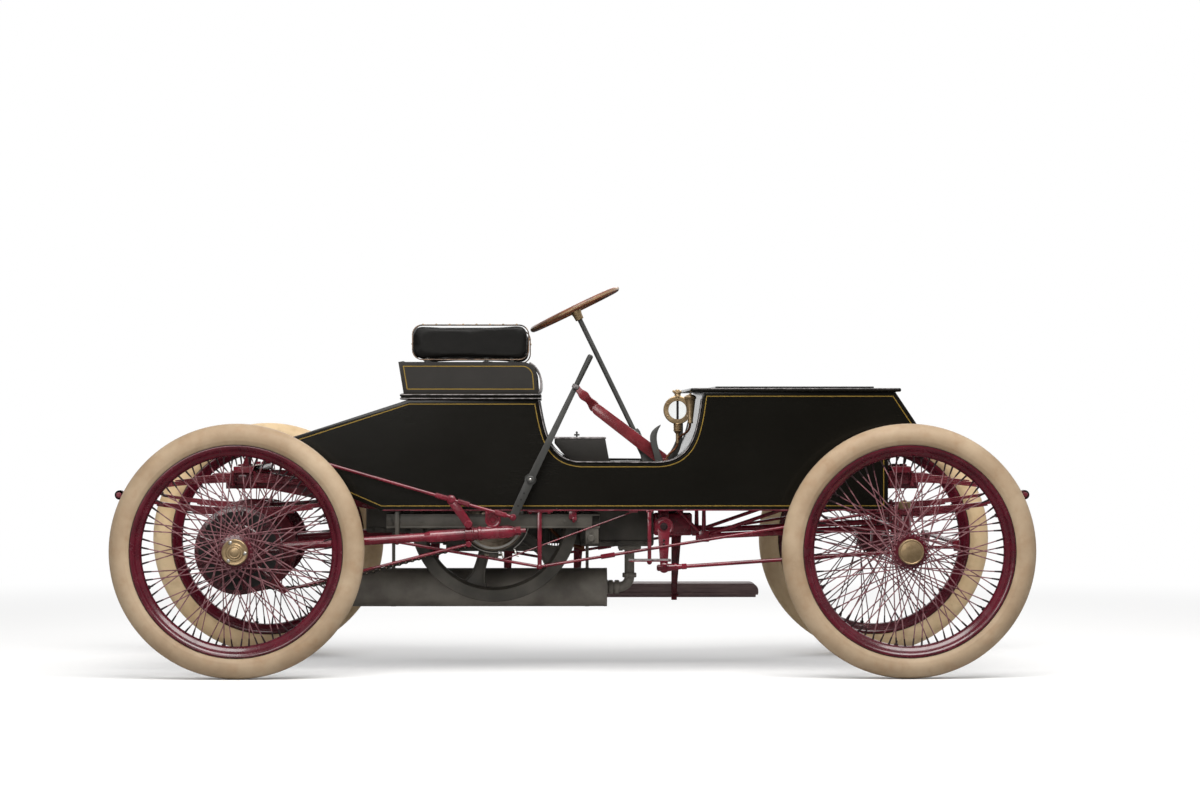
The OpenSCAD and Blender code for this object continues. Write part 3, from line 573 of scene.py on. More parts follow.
def turned(bm, profile, at, axis, steps=48, index=0, closed=False):
    """A turned piece: (along, radius) points spun about the axis through at."""
    axis = Vector(axis).normalized()
    side = axis.orthogonal().normalized()
    if abs(axis.y) > 0.9:
        side = Vector((1, 0, 0))
    verts = [bm.verts.new(at + axis * a + side * max(r, 0)) for a, r in profile]
    edges = [bm.edges.new(pair) for pair in zip(verts, verts[1:])]
    if closed:
        edges.append(bm.edges.new((verts[-1], verts[0])))
    made = bmesh.ops.spin(
        bm, geom=verts + edges, cent=at, axis=axis, dvec=(0, 0, 0), angle=TURN, steps=steps,
        use_merge=True, use_normal_flip=False, use_duplicate=False)
    touched = set(verts) | set(verts_of(made["geom_last"]))
    faces = {f for e in edges if e.is_valid for f in e.link_faces}
    wave = set(faces)
    while wave:
        wave = {g for f in wave for e in f.edges for g in e.link_faces} - faces
        faces |= wave
    everything = {v for f in faces for v in f.verts} | {v for v in touched if v.is_valid}
    on_axis = [v for v in everything if ((v.co - at) - axis * (v.co - at).dot(axis)).length < 0.001]
    bmesh.ops.remove_doubles(bm, verts=on_axis, dist=0.01)
    paint([f for f in faces if f.is_valid], index)
    return [v for v in everything if v.is_valid]


def hoop(bm, profile, at, axis, steps=48, index=0):
    """A turned piece with a bore: its profile closes on itself."""
    return turned(bm, profile, at, axis, steps, index, True)


def collar(bm, at, axis, half, bore, r, drop=0.0, back=0.0, steps=36, index=0):
    """A ring on a rod or a hub; its outer corners fall by drop over the last stretch, back."""
    rise = [(-half, bore), (-half, r - drop)] + ([(back - half, r)] if back else [])
    return hoop(bm, rise + [(-a, b) for a, b in reversed(rise)], at, axis, steps, index)


def slab(bm, outline, y0, y1, soft=1.0, index=0, segments=2):
    """A plate with an outline in X and Z, between two stations across the car."""
    face = bm.faces.new([bm.verts.new((x, y0, z)) for x, z in outline])
    made = bmesh.ops.extrude_face_region(bm, geom=[face])["geom"]
    bmesh.ops.translate(bm, verts=verts_of(made), vec=(0, y1 - y0, 0))
    caps = [face] + [f for f in faces_of(made) if len(f.verts) == len(outline)]
    verts = list({v for f in caps for v in f.verts})
    if soft:
        rim = list({e for f in caps for e in f.edges})
        verts = list({v for f in soften(bm, rim, soft, segments) for v in f.verts})
    paint_around(verts, index)
    return verts


def frames_along(path, up=None):
    """A placing at each point of a path: Z along it, X kept to 'up' or carried without twist."""
    placed = []
    ahead = None
    for i, point in enumerate(path):
        run = (path[min(i + 1, len(path) - 1)] - path[max(i - 1, 0)]).normalized()
        if up is not None:
            x = (up - run * up.dot(run)).normalized()
        elif ahead is None:
            x = run.orthogonal().normalized()
        else:
            x = (ahead - run * ahead.dot(run)).normalized()
        ahead = x
        y = run.cross(x)
        placed.append(Matrix((
            (x.x, y.x, run.x, point.x), (x.y, y.y, run.y, point.y),
            (x.z, y.z, run.z, point.z), (0, 0, 0, 1))))
    return placed


def swept(bm, section, path, up=None, sizes=None, index=0, loop=False):
    """A section of (x, y) points carried along a path by extruding it from point to point."""
    placed = frames_along(path, up)
    sizes = sizes or [1.0] * len(path)
    first = [bm.verts.new(placed[0] @ Vector((x * sizes[0], y * sizes[0], 0))) for x, y in section]
    ring = [bm.edges.new((a, b)) for a, b in zip(first, first[1:] + first[:1])]
    start = ring
    every = list(first)
    count = len(path)
    for i in range(1, count):
        made = bmesh.ops.extrude_edge_only(bm, edges=ring)["geom"]
        ring = [g for g in made if isinstance(g, bmesh.types.BMEdge)]
        verts = verts_of(made)
        grow = Matrix.Diagonal((sizes[i] / sizes[i - 1], sizes[i] / sizes[i - 1], 1, 1))
        step = placed[i] @ grow @ placed[i - 1].inverted()
        bmesh.ops.transform(bm, matrix=step, verts=verts)
        every += verts
    if loop:
        bmesh.ops.bridge_loops(bm, edges=start + ring)
    else:
        bmesh.ops.contextual_create(bm, geom=start)
        bmesh.ops.contextual_create(bm, geom=ring)
    paint_around(every, index)
    return every


def circle(r, sides=10):
    return [(r * math.cos(TURN * i / sides), r * math.sin(TURN * i / sides)) for i in range(sides)]


def oblong(width, height, soft=1.2):
    """A flat section with its corners taken off."""
    w, h = width / 2, height / 2
    return [(w - soft, -h), (w, -h + soft), (w, h - soft), (w - soft, h),
            (-w + soft, h), (-w, h - soft), (-w, -h + soft), (-w + soft, -h)]


def tube(bm, path, r, sides=10, index=0, loop=False):
    """A round wire or pipe along a path."""
    return swept(bm, circle(r, sides), path, None, None, index, loop)


def nut(bm, at, axis, r, height, index=0, sides=6):
    """A nut or a bolt head on a face, with its corner chamfer."""
    axis = Vector(axis).normalized()
    top = at + axis * height
    bar(bm, at, at + axis * (height * 0.8), r, None, sides, index)
    bar(bm, at + axis * (height * 0.8), top, r, r * 0.82, sides, index)


def nuts_round(bm, at, axis, reach, count, r, height, first=0.0):
    """Nuts in a circle on a face, the first one turned by that share of their spacing."""
    for k in range(count):
        nut(bm, at + polar(TURN * (k + first) / count, reach), axis, r, height)


def screw(bm, at, axis, r, index=0):
    """A slotted round head."""
    axis = Vector(axis).normalized()
    bar(bm, at, at + axis * r * 0.45, r, r * 0.9, 12, index)
    bar(bm, at + axis * r * 0.45, at + axis * r * 0.7, r * 0.9, r * 0.5, 12, index)


def arc(cx, cy, r, start, end, count=8):
    """Points on a circle, from one angle to another in degrees."""
    return [(cx + r * math.cos(math.radians(start + (end - start) * i / count)),
             cy + r * math.sin(math.radians(start + (end - start) * i / count)))
            for i in range(count + 1)]


def curve(p, q, r, s, count=16):
    """Points on a cubic curve with two handles."""
    points = []
    for i in range(count + 1):
        t = i / count
        u = 1 - t
        points.append(tuple(
            u ** 3 * a + 3 * u * u * t * b + 3 * u * t * t * c + t ** 3 * d
            for a, b, c, d in zip(p, q, r, s)))
    return points


def bent(p, q, r, s, count=16):
    """The same curve in space, as vectors."""
    return [Vector(point) for point in curve(p, q, r, s, count)]


def piece(name, bm, body, finishes, replaces=(), smooth=34):
    """Makes the object: millimetres to metres, faces outwards, finish, body, nodes it stands for."""
    bmesh.ops.scale(bm, vec=(MM, MM, MM), verts=bm.verts)
    bmesh.ops.recalc_face_normals(bm, faces=bm.faces)
    mesh = bpy.data.meshes.new(name)
    bm.to_mesh(mesh)
    bm.free()
    return settle(name, mesh, body, finishes, replaces, smooth)


def settle(name, mesh, body, finishes, replaces=(), smooth=34):
    """Gives a mesh its object, finishes, body and the nodes it stands for."""
    for each in finishes:
        mesh.materials.append(finish(each))
    mesh.shade_smooth()
    mesh.set_sharp_from_angle(angle=math.radians(smooth))
    obj = bpy.data.objects.new(name, mesh)
    bpy.context.scene.collection.objects.link(obj)
    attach(obj, body)
    if replaces:
        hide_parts(*replaces)
    return obj


# ---- settings ----
class CAR_PG_stage(bpy.types.PropertyGroup):
    """Camera, floor and lamps."""
    lens: FloatProperty(
        name="Lens", description="Focal length of the camera", default=105.5, unit="CAMERA")
    key_power: FloatProperty(
        name="Key lamp", description="Power of the large lamp over the car", default=430.0)
    front_power: FloatProperty(
        name="Front lamp", description="Power of the lamp on the camera's side", default=118.0)
    lift: FloatProperty(
        name="Floor lift", description="Share of plain white in the floor near the car", default=0.4)
    room: FloatProperty(
        name="Room light", description="Strength of the even light of the room", default=0.4)
    bounce: FloatProperty(
        name="Floor bounce", description="How much of its light the floor throws back", default=0.6)


WHITE = (1, 1, 1, 1)
WARM = (1.0, 0.985, 0.96)


def set_camera(settings):
    """A long lens, low on the car's right."""
    data = bpy.data.cameras.new("camera")
    data.lens = settings.lens
    data.sensor_width = 36.0
    data.clip_end = 200.0
    camera = bpy.data.objects.new("camera", data)
    bpy.context.scene.collection.objects.link(camera)
    camera.location = (-0.06936, -13.46606, 0.95322)
    camera.rotation_mode = "QUATERNION"
    camera.rotation_quaternion = Vector((0.01305, 0.99990, 0.00458)).to_track_quat("-Z", "Y")
    bpy.context.scene.camera = camera


def lamp(name, at, target, width, height, power, tint=(1, 1, 1)):
    """A soft rectangular lamp facing its target."""
    data = bpy.data.lights.new(name, "AREA")
    data.shape = "RECTANGLE"
    data.size = width
    data.size_y = height
    data.energy = power
    data.color = tint
    obj = bpy.data.objects.new(name, data)
    obj.location = at
    obj.rotation_mode = "QUATERNION"
    obj.rotation_quaternion = (Vector(target) - Vector(at)).to_track_quat("-Z", "Y")
    bpy.context.scene.collection.objects.link(obj)


def set_world(settings):
    """White behind the car; an even grey room lights it, darker on the camera's side."""
    world = bpy.data.worlds.new("studio")
    bpy.context.scene.world = world
    nodes = Nodes(world)
    nodes.tree.nodes.clear()

    def glow(strength):
        return nodes.node("ShaderNodeBackground", {}, {"Color": WHITE, "Strength": strength})
    way = nodes.node("ShaderNodeTexCoord", out="Generated")
    behind = nodes.node("ShaderNodeSeparateXYZ", {}, {0: way}, "Y").between(-0.55, 0.15, 0.07)
    room = nodes.blend(nodes.ray("Glossy"), glow(settings.room), glow(behind))
    seen = nodes.ray("Camera").either(nodes.ray("Transmission"))
    nodes.node("ShaderNodeOutputWorld", {}, {"Surface": nodes.blend(seen, room, glow(1.0))})


def set_floor(settings):
    """A pale floor whose own white is lifted for the camera, so that only the shadow shows; near the tyres
    the lift is cut, a painted deepening of the shade there.
    """
    bm = bmesh.new()
    bmesh.ops.create_circle(bm, cap_ends=True, segments=64, radius=60)
    mesh = bpy.data.meshes.new("floor")
    bm.to_mesh(mesh)
    bm.free()
    material = bpy.data.materials.new("pale_floor")
    nodes = Nodes(material)
    nodes.tree.nodes.clear()
    camera = nodes.ray("Camera")
    tone = (camera * (0.95 - settings.bounce) + settings.bounce
            - nodes.ray("Glossy") * (settings.bounce - 0.12))
    plain = nodes.node("ShaderNodeBsdfDiffuse", {}, {"Color": tone})
    white = nodes.node("ShaderNodeEmission", {}, {"Color": WHITE})
    place = nodes.node("ShaderNodeTexCoord", out="Object")
    quarter = nodes.node("ShaderNodeVectorMath", {"operation": "ABSOLUTE"}, {0: place})
    contact = nodes.node("ShaderNodeVectorMath", {"operation": "DISTANCE"}, {
        0: quarter, 1: (FRONT_X * MM, WHEEL_Y * MM, 0)}, "Value")
    away = nodes.node("ShaderNodeVectorMath", {"operation": "LENGTH"}, {0: place}, "Value")
    # painted shade: the white lift drops to 0.05 close to each tyre's contact point, so the floor shows
    # deeper shade round the tyres
    lift = away.between(3.0, 7.5, contact.between(0.06, 0.5, 0.05, settings.lift))
    surface = nodes.blend(lift * camera, plain, white)
    nodes.node("ShaderNodeOutputMaterial", {}, {"Surface": surface})
    mesh.materials.append(material)
    floor = bpy.data.objects.new("floor", mesh)
    floor.location = (0, 0, -0.0005)
    bpy.context.scene.collection.objects.link(floor)
    floor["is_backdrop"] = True


def make_stage(settings):
    """Camera, surroundings, floor and three lamps."""
    bpy.context.scene.view_settings.view_transform = "Standard"
    set_camera(settings)
    set_world(settings)
    set_floor(settings)
    lamp("key_lamp", (0.6, -3.2, 5.2), (0, 0.1, 0.3), 5.5, 3.4, settings.key_power, WARM)
    lamp("front_lamp", (-2.5, -6.5, 2.6), (0, 0, 0.5), 3.2, 2.2, settings.front_power, WARM)
    lamp("back_lamp", (0.5, 4.6, 3.4), (0, 0, 0.4), 5.0, 1.6, settings.front_power * 0.6)


# ---- wheels ----
class CAR_PG_wheels(bpy.types.PropertyGroup):
    """Wire wheels and tyres."""
    spokes: IntProperty(name="Spokes", description="Spokes in each wheel", default=72, min=24)
    gauge: FloatProperty(
        name="Spoke gauge", description="Diameter of a spoke", default=0.0044, unit="LENGTH")
    lean: FloatProperty(
        name="Lacing", description="How far round the hub a spoke starts from its rim hole",
        default=math.radians(75), unit="ROTATION")
    lugs: IntProperty(name="Lugs", description="Tyre security bolts in each rim", default=6)


RIM_R = TYRE_R - SECTION + 7       # where the tyre's bead sits
RIM_IN = RIM_R - 34                # inner crown of the rim
FLANGE_R, FLANGE_AT = 62, 48       # spoke flange of a hub and its distance from the wheel plane
HUB_HALF = 62


class Place:
    """A wheel's own polar frame: angle round, radius out, distance along the axle outwards."""

    def __init__(self, x, side):
        self.centre = vec(x, side * WHEEL_Y, HUB_Z)
        self.axis = vec(0, side, 0)

    def at(self, angle, radius, along):
        return self.centre + polar(angle, radius) + self.axis * along


def add_rim(place, settings, name, body, node):
    """The hollow rim with its lugs."""
    bm = bmesh.new()
    half = [(0, RIM_IN), (6, RIM_IN + 0.6), (12, RIM_IN + 3.5), (17, RIM_IN + 8.5), (21, RIM_IN + 15),
            (25, RIM_IN + 20), (30, RIM_IN + 23.5), (34, RIM_IN + 27), (37, RIM_IN + 32),
            (38, RIM_R + 2), (37.5, RIM_R + 5), (35.5, RIM_R + 6.5), (33, RIM_R + 5),
            (31, RIM_R + 1), (28, RIM_R - 4), (14, RIM_R - 8), (0, RIM_R - 9)]
    other = [(-a, r) for a, r in reversed(half[1:-1])]
    hoop(bm, half + other, place.centre, place.axis, 112)
    for k in range(settings.lugs):
        angle = TURN * (k + 0.37) / settings.lugs
        inner, outer = place.at(angle, RIM_IN - 17, 0), place.at(angle, RIM_IN + 3, 0)
        bar(bm, inner, outer, 3.6, None, 8, 1)
        nut(bm, place.at(angle, RIM_IN + 1, 0), inner - outer, 7.5, 7, 1)
    return piece(name + "_rim", bm, body, ("rim_maroon", "nipple_dark"), (node,), 40)


def add_spokes(place, settings, name, body):
    """Laced spokes, each with a nipple at the rim and a head at the hub."""
    bm = bmesh.new()
    r = settings.gauge / MM / 2
    for k in range(settings.spokes):
        side = 1 if k % 2 else -1
        lean = settings.lean * (1 if (k // 2) % 2 else -1)
        angle = TURN * (k + 0.5) / settings.spokes
        rim = place.at(angle, RIM_IN + 2, side * 8)
        hub = place.at(angle + lean, FLANGE_R - 5, side * (FLANGE_AT + (3 if lean > 0 else -3)))
        inwards = (hub - rim).normalized()
        bar(bm, hub, rim + inwards * 20, r, None, 6, 0)
        bar(bm, rim + inwards * 29, rim, r * 1.25, r * 1.75, 6, 1)
        bar(bm, hub - place.axis * 5, hub + place.axis * 5, 3.1, None, 6, 0)
    return piece(name + "_spokes", bm, body, ("spoke_mauve", "nipple_dark"), (), 50)


def add_hub(place, name, body):
    """The hub with its two scalloped flanges."""
    bm = bmesh.new()
    profile = [(-HUB_HALF, 17), (-HUB_HALF, 33), (-HUB_HALF + 4, 36), (-54, 36), (-50, 33),
               (-43, 30), (-36, 25), (-10, 23), (10, 23), (36, 25), (43, 30), (50, 33),
               (54, 42), (57, 45), (HUB_HALF, 45), (HUB_HALF + 2, 42), (HUB_HALF + 2, 17)]
    hoop(bm, profile, place.centre, place.axis, 40)
    scallops = 36
    for side in (-1, 1):
        base = place.centre + place.axis * (side * FLANGE_AT - 4)
        turn = place.axis.to_track_quat("Z", "Y").to_matrix().to_4x4()
        made = bmesh.ops.create_circle(
            bm, cap_ends=True, segments=scallops * 4, radius=FLANGE_R,
            matrix=Matrix.Translation(base) @ turn)["verts"]
        for i, vert in enumerate(made):
            wave = 1 + 0.035 * math.cos(TURN * i / 4)
            vert.co = base + (vert.co - base) * wave
        face = [f for f in made[0].link_faces if len(f.verts) == scallops * 4]
        top = bmesh.ops.extrude_face_region(bm, geom=face)["geom"]
        bmesh.ops.translate(bm, verts=verts_of(top), vec=place.axis * 8)
        rims = [f for f in faces_of(top) if len(f.verts) == scallops * 4] + face
        soften(bm, list({e for f in rims for e in f.edges}), 1.4, 2)
    return piece(name + "_hub", bm, body, ("rim_maroon",), (), 32)


def add_cap(place, name, body, stepped):
    """The brass grease cap: stepped with three screws at the rear, plain in front."""
    bm = bmesh.new()
    if stepped:
        profile = [(HUB_HALF + 1, 0), (HUB_HALF + 1, 45), (68, 47.5), (82, 47.5), (86, 46.5),
                   (87.5, 44), (86.5, 40), (86.5, 33), (88, 31.5), (91, 31), (92, 29), (91.5, 26),
                   (92, 23.5), (95, 22.5), (96, 20.5), (95.5, 17), (96.5, 15), (97.6, 12), (98, 0)]
        for degrees in (114, 354, 234):
            screw(bm, place.at(math.radians(degrees), 37.5, 86), place.axis, 7.2, 1)
    else:
        profile = [(HUB_HALF + 1, 0), (HUB_HALF + 1, 44), (66, 46), (86, 46), (90.5, 45.5),
                   (92.5, 43.5), (92.5, 41.5), (91, 39.5), (91.8, 36), (94, 29), (95.6, 21),
                   (96.6, 12), (97, 0)]
    turned(bm, profile, place.centre, place.axis, 64)
    return piece(name + "_cap", bm, body, ("brass", "bright_steel"), (), 28)


def add_tyre(place, name, body, node):
    """The tyre, with a dark ring of painted shade where each bead meets the rim."""
    bm = bmesh.new()
    ring, fat = TYRE_R - SECTION / 2, SECTION / 2
    profile = []
    for i in range(-26, 27):
        turn = math.radians(i * 135 / 26)
        r = fat - 0.5
        if abs(i) == 21:
            r += 0.9                      # bead line moulded above the rim
        if abs(i) < 6:
            r += 0.45                     # the tread's thin cap
        profile.append((r * math.sin(turn), ring + r * math.cos(turn)))
    profile += [(24, RIM_R - 1), (0, RIM_R - 4), (-24, RIM_R - 1)]
    hoop(bm, profile, place.centre, place.axis, 128)
    # painted shade: a thin dark ring in the crevice between the tyre and the rim's lip
    for side in (-1, 1):
        line = [(side * 34.5 + 1.6 * math.cos(TURN * i / 8), RIM_R + 7.2 + 1.6 * math.sin(TURN * i / 8))
                for i in range(8)]
        hoop(bm, line, place.centre, place.axis, 112, 1)
    # painted light: the far side's tyres take a paler copy of the rubber in place of the light that falls
    # on them
    rubber = "cream_rubber" if place.axis.y < 0 else "painted_lit_rubber"
    return piece(name + "_tyre", bm, body, (rubber, "rim_crevice_shade"), (node,), 60)


def add_brake_drum(place, name, body):
    """The ribbed drum behind a rear wheel."""
    bm = bmesh.new()
    profile = [(-70, 17), (-70, 150), (-101, 152), (-104, 154), (-104, 160), (-101, 162), (-97, 160),
               (-66, 160), (-62, 157), (-60, 150), (-60, 96), (-56, 90), (-56, 60), (-60, 54), (-60, 17)]
    hoop(bm, profile, place.centre, place.axis, 96)
    nuts_round(bm, place.at(0, 0, -56), place.axis, 75, 12, 5.5, 5)
    for k in range(9):
        angle = TURN * k / 9
        bar(bm, place.at(angle, 88, -58), place.at(angle, 148, -60), 5, 6.5, 10, 0)
        # painted shade: thin dark plates between the ribs stand for the shade in the disc's openings
        edges = [place.at(angle + turn, reach, -61) for reach, turn in
                 ((102, 0.1), (143, 0.07), (143, TURN / 9 - 0.07), (102, TURN / 9 - 0.1))]
        mid = [place.at(angle + TURN / 18, reach, -61) for reach in (145, 101)]
        shaded_opening = edges[:2] + mid[:1] + edges[2:] + mid[1:]
        slab(bm, [(p.x, p.z) for p in shaded_opening], edges[0].y, edges[0].y + place.axis.y * 2.2, 0, 1)
    return piece(name + "_brake_drum", bm, body, ("drum_maroon", "dark_inside"), (), 30)


WHEELS = (
    ("front_right", FRONT_X, -1), ("front_left", FRONT_X, 1),
    ("rear_right", REAR_X, -1), ("rear_left", REAR_X, 1))


def make_wheels(settings):
    for corner, x, side in WHEELS:
        place = Place(x, side)
        body, name = "wheel_" + corner, "wheel_" + corner
        add_rim(place, settings, name, body, name)
        add_spokes(place, settings, name, body)
        add_hub(place, name, body)
        add_cap(place, name, body, corner.startswith("rear"))
        add_tyre(place, corner, body, "tyre_" + corner)
        if corner.startswith("rear"):
            add_brake_drum(place, name, body)


# ---- coachwork ----
class CAR_PG_coach(bpy.types.PropertyGroup):
    """Painted wooden body."""
    stripe_inset: FloatProperty(
        name="Line inset", description="Distance of the gold line from an edge", default=0.0145,
        unit="LENGTH")
    stripe_width: FloatProperty(
        name="Line width", description="Width of the gold line", default=0.0036, unit="LENGTH")
    bead: FloatProperty(
        name="Bead", description="Radius of the bead round the entrance", default=0.0048, unit="LENGTH")


BOX_REAR = BOX_Z - 562                      # station of the front box's rear edge
TAIL_TOP = (TAIL_X, BOTTOM_Z + 216)
TAIL_RISE = (TAIL_X + 494, BOTTOM_Z)
DECK_REAR = (SEAT_REAR + 22, DECK_Z)
NOSE_TOP = (NOSE_X - 107, BOX_Z)
NOSE_TIP = (NOSE_X, BOTTOM_Z + 278)
NOSE_UNDER = (FRONT_X - 52, BOTTOM_Z + 190)
REAR_ENTRY = curve((SEAT_FRONT - 2, DECK_Z), (-104, SILL_Z + 100), (-90, SILL_Z + 6), (34, SILL_Z), 18)
FRONT_ENTRY = curve((BOX_REAR - 165, SILL_Z), (BOX_REAR - 34, SILL_Z + 6),
                    (BOX_REAR - 20, SILL_Z + 110), (BOX_REAR, BOX_Z), 18)
SIDE_OUTLINE = ([TAIL_RISE, TAIL_TOP, DECK_REAR] + REAR_ENTRY + FRONT_ENTRY
                + [NOSE_TOP, NOSE_TIP, NOSE_UNDER, (NOSE_UNDER[0], BOTTOM_Z)])


def striped(bm, points, push, settings, soft=1.6):
    """A board with a gold line let in round its face; push is the way to its back."""
    face = bm.faces.new([bm.verts.new(p) for p in points])
    face.normal_update()
    bmesh.ops.inset_region(
        bm, faces=[face], thickness=settings.stripe_inset / MM, use_even_offset=True,
        use_boundary=True)
    ring = bmesh.ops.inset_region(
        bm, faces=[face], thickness=settings.stripe_width / MM, use_even_offset=True,
        use_boundary=True)["faces"]
    front = grow = {face}
    while grow:
        grow = {g for f in grow for e in f.edges for g in e.link_faces} - front
        front = front | grow
    paint(front, 0)
    paint(ring, 1)
    made = bmesh.ops.extrude_face_region(bm, geom=list(front))["geom"]
    bmesh.ops.translate(bm, verts=verts_of(made), vec=push)
    paint(faces_of(made), 0)
    edges = [e for f in front if f.is_valid for e in f.edges
             if any(g not in front for g in e.link_faces)]
    if soft and edges:
        soften(bm, list(set(edges)), soft, 2)


def make_sides(settings):
    """The body's sides, with the bead round the entrance and the strip under them."""
    for name, side in (("right", -1), ("left", 1)):
        bm = bmesh.new()
        points = [vec(x, side * BODY_Y, z) for x, z in SIDE_OUTLINE]
        striped(bm, points, vec(0, -side * (BODY_Y - INNER_Y), 0), settings)
        piece("coach_side_" + name, bm, "root", ("coach_black", "pin_gold"),
              ("body_side_" + name,), 25)
        bm = bmesh.new()
        bead = settings.bead / MM
        lower = REAR_ENTRY[:-1] + FRONT_ENTRY
        path = [vec(x, side * (BODY_Y + 0.4), z - bead * 0.2) for x, z in lower]
        path = [p for p in path if p.z < BOX_Z - 4]
        tube(bm, path, bead, 10, 0)
        # painted highlight: a thin pale wire along the top of the bead, where the light from above falls
        tube(bm, [p + vec(0, side * bead * 0.75, bead * 0.25) for p in path], bead * 0.4, 6, 2)
        for x in (TAIL_RISE[0] + 260, -60, 420, 900):
            screw(bm, vec(x, side * BODY_Y, BOTTOM_Z + 5.5), vec(0, side, 0), 2.4, 0)
        inner, outer = sorted((side * (BODY_Y - 1), side * (BODY_Y + 1.2)))
        block(bm, (TAIL_RISE[0] + 8, inner, BOTTOM_Z - 2), (NOSE_UNDER[0] - 6, outer, BOTTOM_Z + 2.6),
              0.8, 1, 1)
        piece("coach_beading_" + name, bm, "root", ("coach_black", "spring_maroon", "edge_wear_and_highlight"))


def make_panels(settings):
    """Tail deck, nose boards, curved inner panels and floor planks."""
    bm = bmesh.new()
    wide = INNER_Y - 0.4
    striped(bm, [vec(DECK_REAR[0], -wide, DECK_Z), vec(TAIL_TOP[0], -wide, TAIL_TOP[1]),
                 vec(TAIL_TOP[0], wide, TAIL_TOP[1]), vec(DECK_REAR[0], wide, DECK_Z)],
            vec(4, 0, -12), settings)
    piece("tail_deck_panel", bm, "root", ("coach_black", "pin_gold"), ("tail_deck",))
    bm = bmesh.new()
    for low, high, lower, push in ((NOSE_TIP, NOSE_TOP, 1, -3), (NOSE_UNDER, NOSE_TIP, 0, 4)):
        striped(bm, [vec(low[0], wide, low[1]), vec(low[0], -wide, low[1]),
                     vec(high[0], -wide, high[1] - lower), vec(high[0], wide, high[1] - lower)],
                vec(-12, 0, push), settings, 0.8)
    run = [vec(x, 0, z) for x, z in (NOSE_UNDER, (FLOOR_FRONT, FLOOR_Z - 2))]
    swept(bm, oblong(2 * wide, 10), run, ACROSS)
    piece("nose_boards", bm, "root", ("coach_black", "pin_gold"), ("nose_panel",))
    bm = bmesh.new()
    behind = [vec(x - 6, 0, z) for x, z in REAR_ENTRY[:15]]
    ahead = [vec(x + 5, 0, z - 2) for x, z in FRONT_ENTRY[4:]]
    foot = [vec(BOX_REAR - 104, 0, FLOOR_Z + 9)]
    for path in (behind, foot + ahead):
        swept(bm, oblong(2 * wide, 10), [p for p in path if p.z < BOX_Z], ACROSS)
    piece("dash_and_seat_front", bm, "root", ("coach_black",), ("curved_panels",), 40)
    bm = bmesh.new()
    count = 8
    step = 2 * wide / count
    for i in range(count):
        y = -wide + i * step
        cuts = (310, 362) if -260 < y + step / 2 < -180 else ()    # the slot for the column
        ends = (FLOOR_REAR, *cuts, FLOOR_FRONT)
        for x0, x1 in zip(ends[::2], ends[1::2]):
            block(bm, (x0, y + 0.8, FLOOR_LOW), (x1, y + step - 0.8, FLOOR_Z), 1.5)
    piece("floor_planks", bm, "root", ("floor_boards",), ("floor_board",))


def make_lid(settings):
    """The front box's lid, with its raised board and its hinges on the left edge."""
    lo, hi = node_box("bonnet_lid")
    bm = bmesh.new()
    block(bm, (lo.x, lo.y, lo.z), (hi.x, hi.y, lo.z + 14), 5.5, 0, 4)
    x0, x1, y0, y1, top_z = lo.x + 95, hi.x - 95, lo.y + 72, hi.y - 72, lo.z + 20.6
    top = [vec(x0, y0, top_z), vec(x1, y0, top_z), vec(x1, y1, top_z), vec(x0, y1, top_z)]
    striped(bm, top, vec(0, 0, -7), settings, 2.4)
    for x in (lo.x + 90, (lo.x + hi.x) / 2, hi.x - 90):
        bar(bm, vec(x - 32, hi.y - 2, lo.z + 2), vec(x + 32, hi.y - 2, lo.z + 2), 3.6, None, 12, 2)
        block(bm, (x - 30, hi.y - 34, lo.z + 13.6), (x + 30, hi.y - 4, lo.z + 15.6), 0.8, 2, 1)
    # painted highlights: thin pale wires along the lid's two long edges
    for y in (lo.y + 1.2, hi.y - 1.2):
        bar(bm, vec(lo.x + 6, y, lo.z + 11.5), vec(hi.x - 6, y, lo.z + 11.5), 1.3, None, 6, 3)
    piece("front_box_lid", bm, "bonnet_lid", ("coach_black", "pin_gold", "brass", "edge_wear_and_highlight"),
          ("bonnet_lid",), 30)


# ---- seat ----
class CAR_PG_seat(bpy.types.PropertyGroup):
    """Seat boards, cushion and padded rail."""
    nails: IntProperty(name="Nails", description="Nails along the top of the padded rail", default=8)
    fill: FloatProperty(name="Fill", description="How tightly the pads are stuffed", default=0.7)


MOULD_Z = DECK_Z + 23
RISER_TOP = MOULD_Z + 117
RISER_Y = BODY_Y - 12
PAD_REAR, PAD_FRONT = SEAT_REAR + 36, SEAT_FRONT - 37
PAD_Z, PAD_TOP, PAD_T = RISER_TOP + 7, RISER_TOP + 138, 60
PAD_Y = RISER_Y + 11
CORNER = 37


